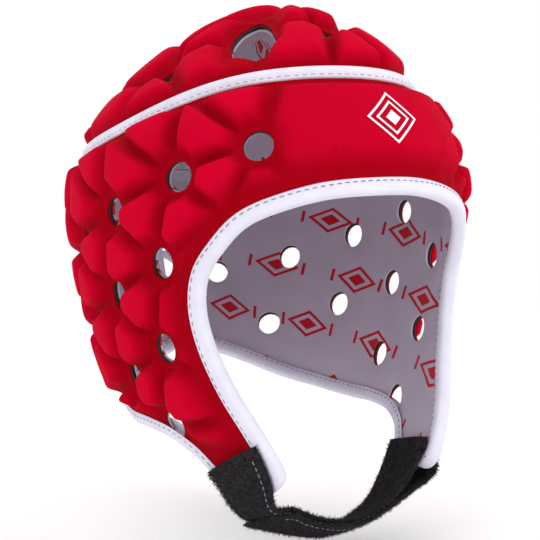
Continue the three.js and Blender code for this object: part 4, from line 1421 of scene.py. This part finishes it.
def make_straps():
    rows = [tab_row(*row, PAD_OFFSET, -1) for row in STRAP_ON_TAB]
    rows += [free_row(*row) for row in STRAP_FREE]
    rows += [tab_row(*row, INNER_OFFSET - STRAP_THICKNESS, 1) for row in STRAP_END]
    grid, along = smooth_rows(rows)
    inner, rings = strap_piece("chin_strap_inner", grid, along)
    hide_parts("strap_inner")
    fuzz("chin_strap_inner_fuzz", rings, 15000, 21)
    lapped = grid + row_normals(grid) * (STRAP_THICKNESS + LAP_GAP)
    middle = grid[:, ACROSS // 2]
    shared = (middle[:, 0] > LAP_START * HALF_WIDTH) & (middle[:, 0] < LAP_END * HALF_WIDTH)
    shared &= middle[:, 2] < LIFT - BAND_DEPTH
    outer_rows = list(lapped[shared][::LAP_STRIDE])
    outer_rows += [free_row(*row) for row in STRAP_RISE]
    outer_rows += [tab_row(*row, PAD_OFFSET, 1) for row in reversed(OUTER_ON_TAB)]
    grid2, along2 = smooth_rows(outer_rows)
    outer, rings2 = strap_piece("chin_strap_outer", grid2, along2)
    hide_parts("strap_outer")
    fuzz("chin_strap_outer_fuzz", rings2, 14000, 22)
    strap_stitches("chin_strap_inner_stitches", grid, STRAP_THICKNESS + 0.3)
    strap_stitches("chin_strap_outer_stitches", grid2, STRAP_THICKNESS + 0.12)


# Nape lace: two flat strands that cross between the bound edges
LACE_CROSSINGS = 3
LACE_REACH = 9.5
LACE_WIDTH = 4
LACE_OFFSET = 3.2
LACE_HALF_THICKNESS = 0.75
LACE_SIDES = 12
LACE_STEP = 0.55


def make_lace():
    top = NAPE_GAP_TOP + NAPE_GAP_HALF_WIDTH + LACE_WIDTH
    bottom = -NAPE_LEVEL - NAPE_CORNER_RADIUS
    for start in (-1, 1):
        centre = []
        count = LACE_CROSSINGS * 24
        for step in range(count + 1):
            t = step / count
            level = -(top + (bottom - top) * t)
            phase = math.cos(math.pi * t * LACE_CROSSINGS)
            across = start * LACE_REACH * (abs(phase) ** 0.8) * (1 if phase > 0 else -1)
            row = float(row_at_level(level))
            angle = math.copysign(angle_at_back(abs(across), row), across if across else 1)
            offset = LACE_OFFSET + LACE_STEP * start * (1 - abs(phase))
            centre.append(shell_point(np.array(angle), np.array(row), offset))
        centre = np.array(centre)
        tangent = unit(np.gradient(centre, axis=0))
        away = np.tile(np.array([0.0, 1.0, 0.0]), (len(centre), 1))
        side = unit(np.cross(tangent, away))
        away = np.cross(side, tangent)
        rings = []
        for k in range(LACE_SIDES):
            turn = 2 * math.pi * k / LACE_SIDES
            flat = side * (LACE_WIDTH / 2) * math.cos(turn)
            rings.append(centre + flat + away * LACE_HALF_THICKNESS * math.sin(turn))
        name, material = ("right", WHITE) if start < 0 else ("left", GREY)
        around = np.linspace(0, 10, LACE_SIDES)
        piece = ring_mesh("nape_lace_strand_" + name, np.stack(rings, axis=1), False, [material], around,
                          lengths_along(centre))
        finish_piece(piece, 80)
    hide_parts("nape_lace")


# White print on the forehead: size of each outline outside and inside, place and height
PRINT_RINGS = ((15.5, 13.8), (10.4, 8.7), (4.6, 0.0))
PRINT_HEIGHT = 0.68
PRINT_ANGLE = -0.5
PRINT_LEVEL = 16
PRINT_GAP = 0.25


def make_forehead_print():
    """Nested lozenges laid just above the middle of the pad."""
    corners = [(1, 0), (0, 1), (-1, 0), (0, -1), (1, 0)]
    steps = 48
    points, faces = [], []
    for outer, inner in PRINT_RINGS:
        start = len(points)
        for size in (outer, inner):
            for k in range(steps):
                side = k / steps * 4
                a, b = corners[int(side)], corners[int(side) + 1]
                t = side - int(side)
                across = (a[0] + (b[0] - a[0]) * t) * size
                points.append((across, (a[1] + (b[1] - a[1]) * t) * size * PRINT_HEIGHT))
        for k in range(steps):
            m = (k + 1) % steps
            faces.append((start + k, start + m, start + steps + m, start + steps + k))
    flat = np.array(points)
    row = row_at_level(PRINT_LEVEL + flat[:, 1])
    angle = PRINT_ANGLE + np.degrees(flat[:, 0] / FRONT_REACH)
    base = shell_base(angle, row)
    height = pad_height(base) * relief_share(base)
    normal = shell_normal(angle, row)
    points = base + normal * (height + PRINT_GAP)[:, None]
    finish_piece(new_mesh("forehead_print", points, faces, flat, [PRINT]), 60)


make_shells()
make_linings()
make_crown_binding()
make_edge_bindings()
make_straps()
make_lace()
make_forehead_print()


# Camera at the photograph's viewing angle, from its own place, turn and lens
CAMERA_TURN = 32.4
CAMERA_RISE = 0.64
CAMERA_ROLL = -1.27
CAMERA_DISTANCE = 533.5
CAMERA_SLIDE = (3.3, -46.0)
FOCAL_PIXELS = 1058.7
FRAME_PIXELS = 540
SENSOR = 36


def make_camera():
    turn, rise, roll = (math.radians(x) for x in (CAMERA_TURN, CAMERA_RISE, CAMERA_ROLL))
    back = np.array([-math.sin(turn) * math.cos(rise), -math.cos(turn) * math.cos(rise), math.sin(rise)])
    right = unit(np.cross(-back, (0, 0, 1)))
    up = np.cross(right, -back)
    level, upright = right, up
    right = math.cos(roll) * level + math.sin(roll) * upright
    up = -math.sin(roll) * level + math.cos(roll) * upright
    slide = right * CAMERA_SLIDE[0] + up * CAMERA_SLIDE[1]
    place = back * CAMERA_DISTANCE + slide + np.array([0, 0, LIFT])
    bpy.ops.object.camera_add()
    camera = bpy.context.object
    camera.data.sensor_width = SENSOR
    camera.data.lens = FOCAL_PIXELS / FRAME_PIXELS * SENSOR
    camera.data.clip_start = 0.01
    camera.data.clip_end = 50
    turned = Matrix(np.stack([right, up, back], axis=1).tolist()).to_4x4()
    camera.matrix_world = Matrix.Translation(Vector(place * MM)) @ turned
    bpy.context.scene.camera = camera


# Floor just below the chin strap and the lights' aim, in metres
FLOOR_LEVEL = -0.253
LIGHT_TARGET = (0, 0, -0.11)


def area_light(name, place, size, power):
    bpy.ops.object.light_add(type="AREA", location=place)
    light = bpy.context.object
    light.name = name
    light.data.size = size
    light.data.energy = power
    light.rotation_euler = (Vector(LIGHT_TARGET) - Vector(place)).to_track_quat("-Z", "Y").to_euler()


def make_studio():
    bpy.ops.mesh.primitive_plane_add(size=12, location=(0, 0, FLOOR_LEVEL))
    floor = bpy.context.object
    floor.name = "studio_floor"
    f = Finish("pale_floor")
    shader = f.node("ShaderNodeBsdfPrincipled", {}, {"Base Color": (1, 1, 1, 1), "Roughness": 0.95})
    f.node("ShaderNodeOutputMaterial", {}, {0: shader})
    floor.data.materials.append(f.material)
    world = bpy.data.worlds.new("studio")
    bpy.context.scene.world = world
    world.use_nodes = True
    background = world.node_tree.nodes["Background"]
    background.inputs[0].default_value = (1, 1, 1, 1)
    background.inputs[1].default_value = 1.0
    area_light("key_light", (0.7, -1.3, 0.8), 0.6, 7)
    area_light("fill_light", (-1.2, -0.4, 0.7), 1.2, 2)
    area_light("top_light", (0.0, 0.2, 1.3), 1.0, 2)
    bpy.context.scene.view_settings.view_transform = "Standard"


make_camera()
make_studio()
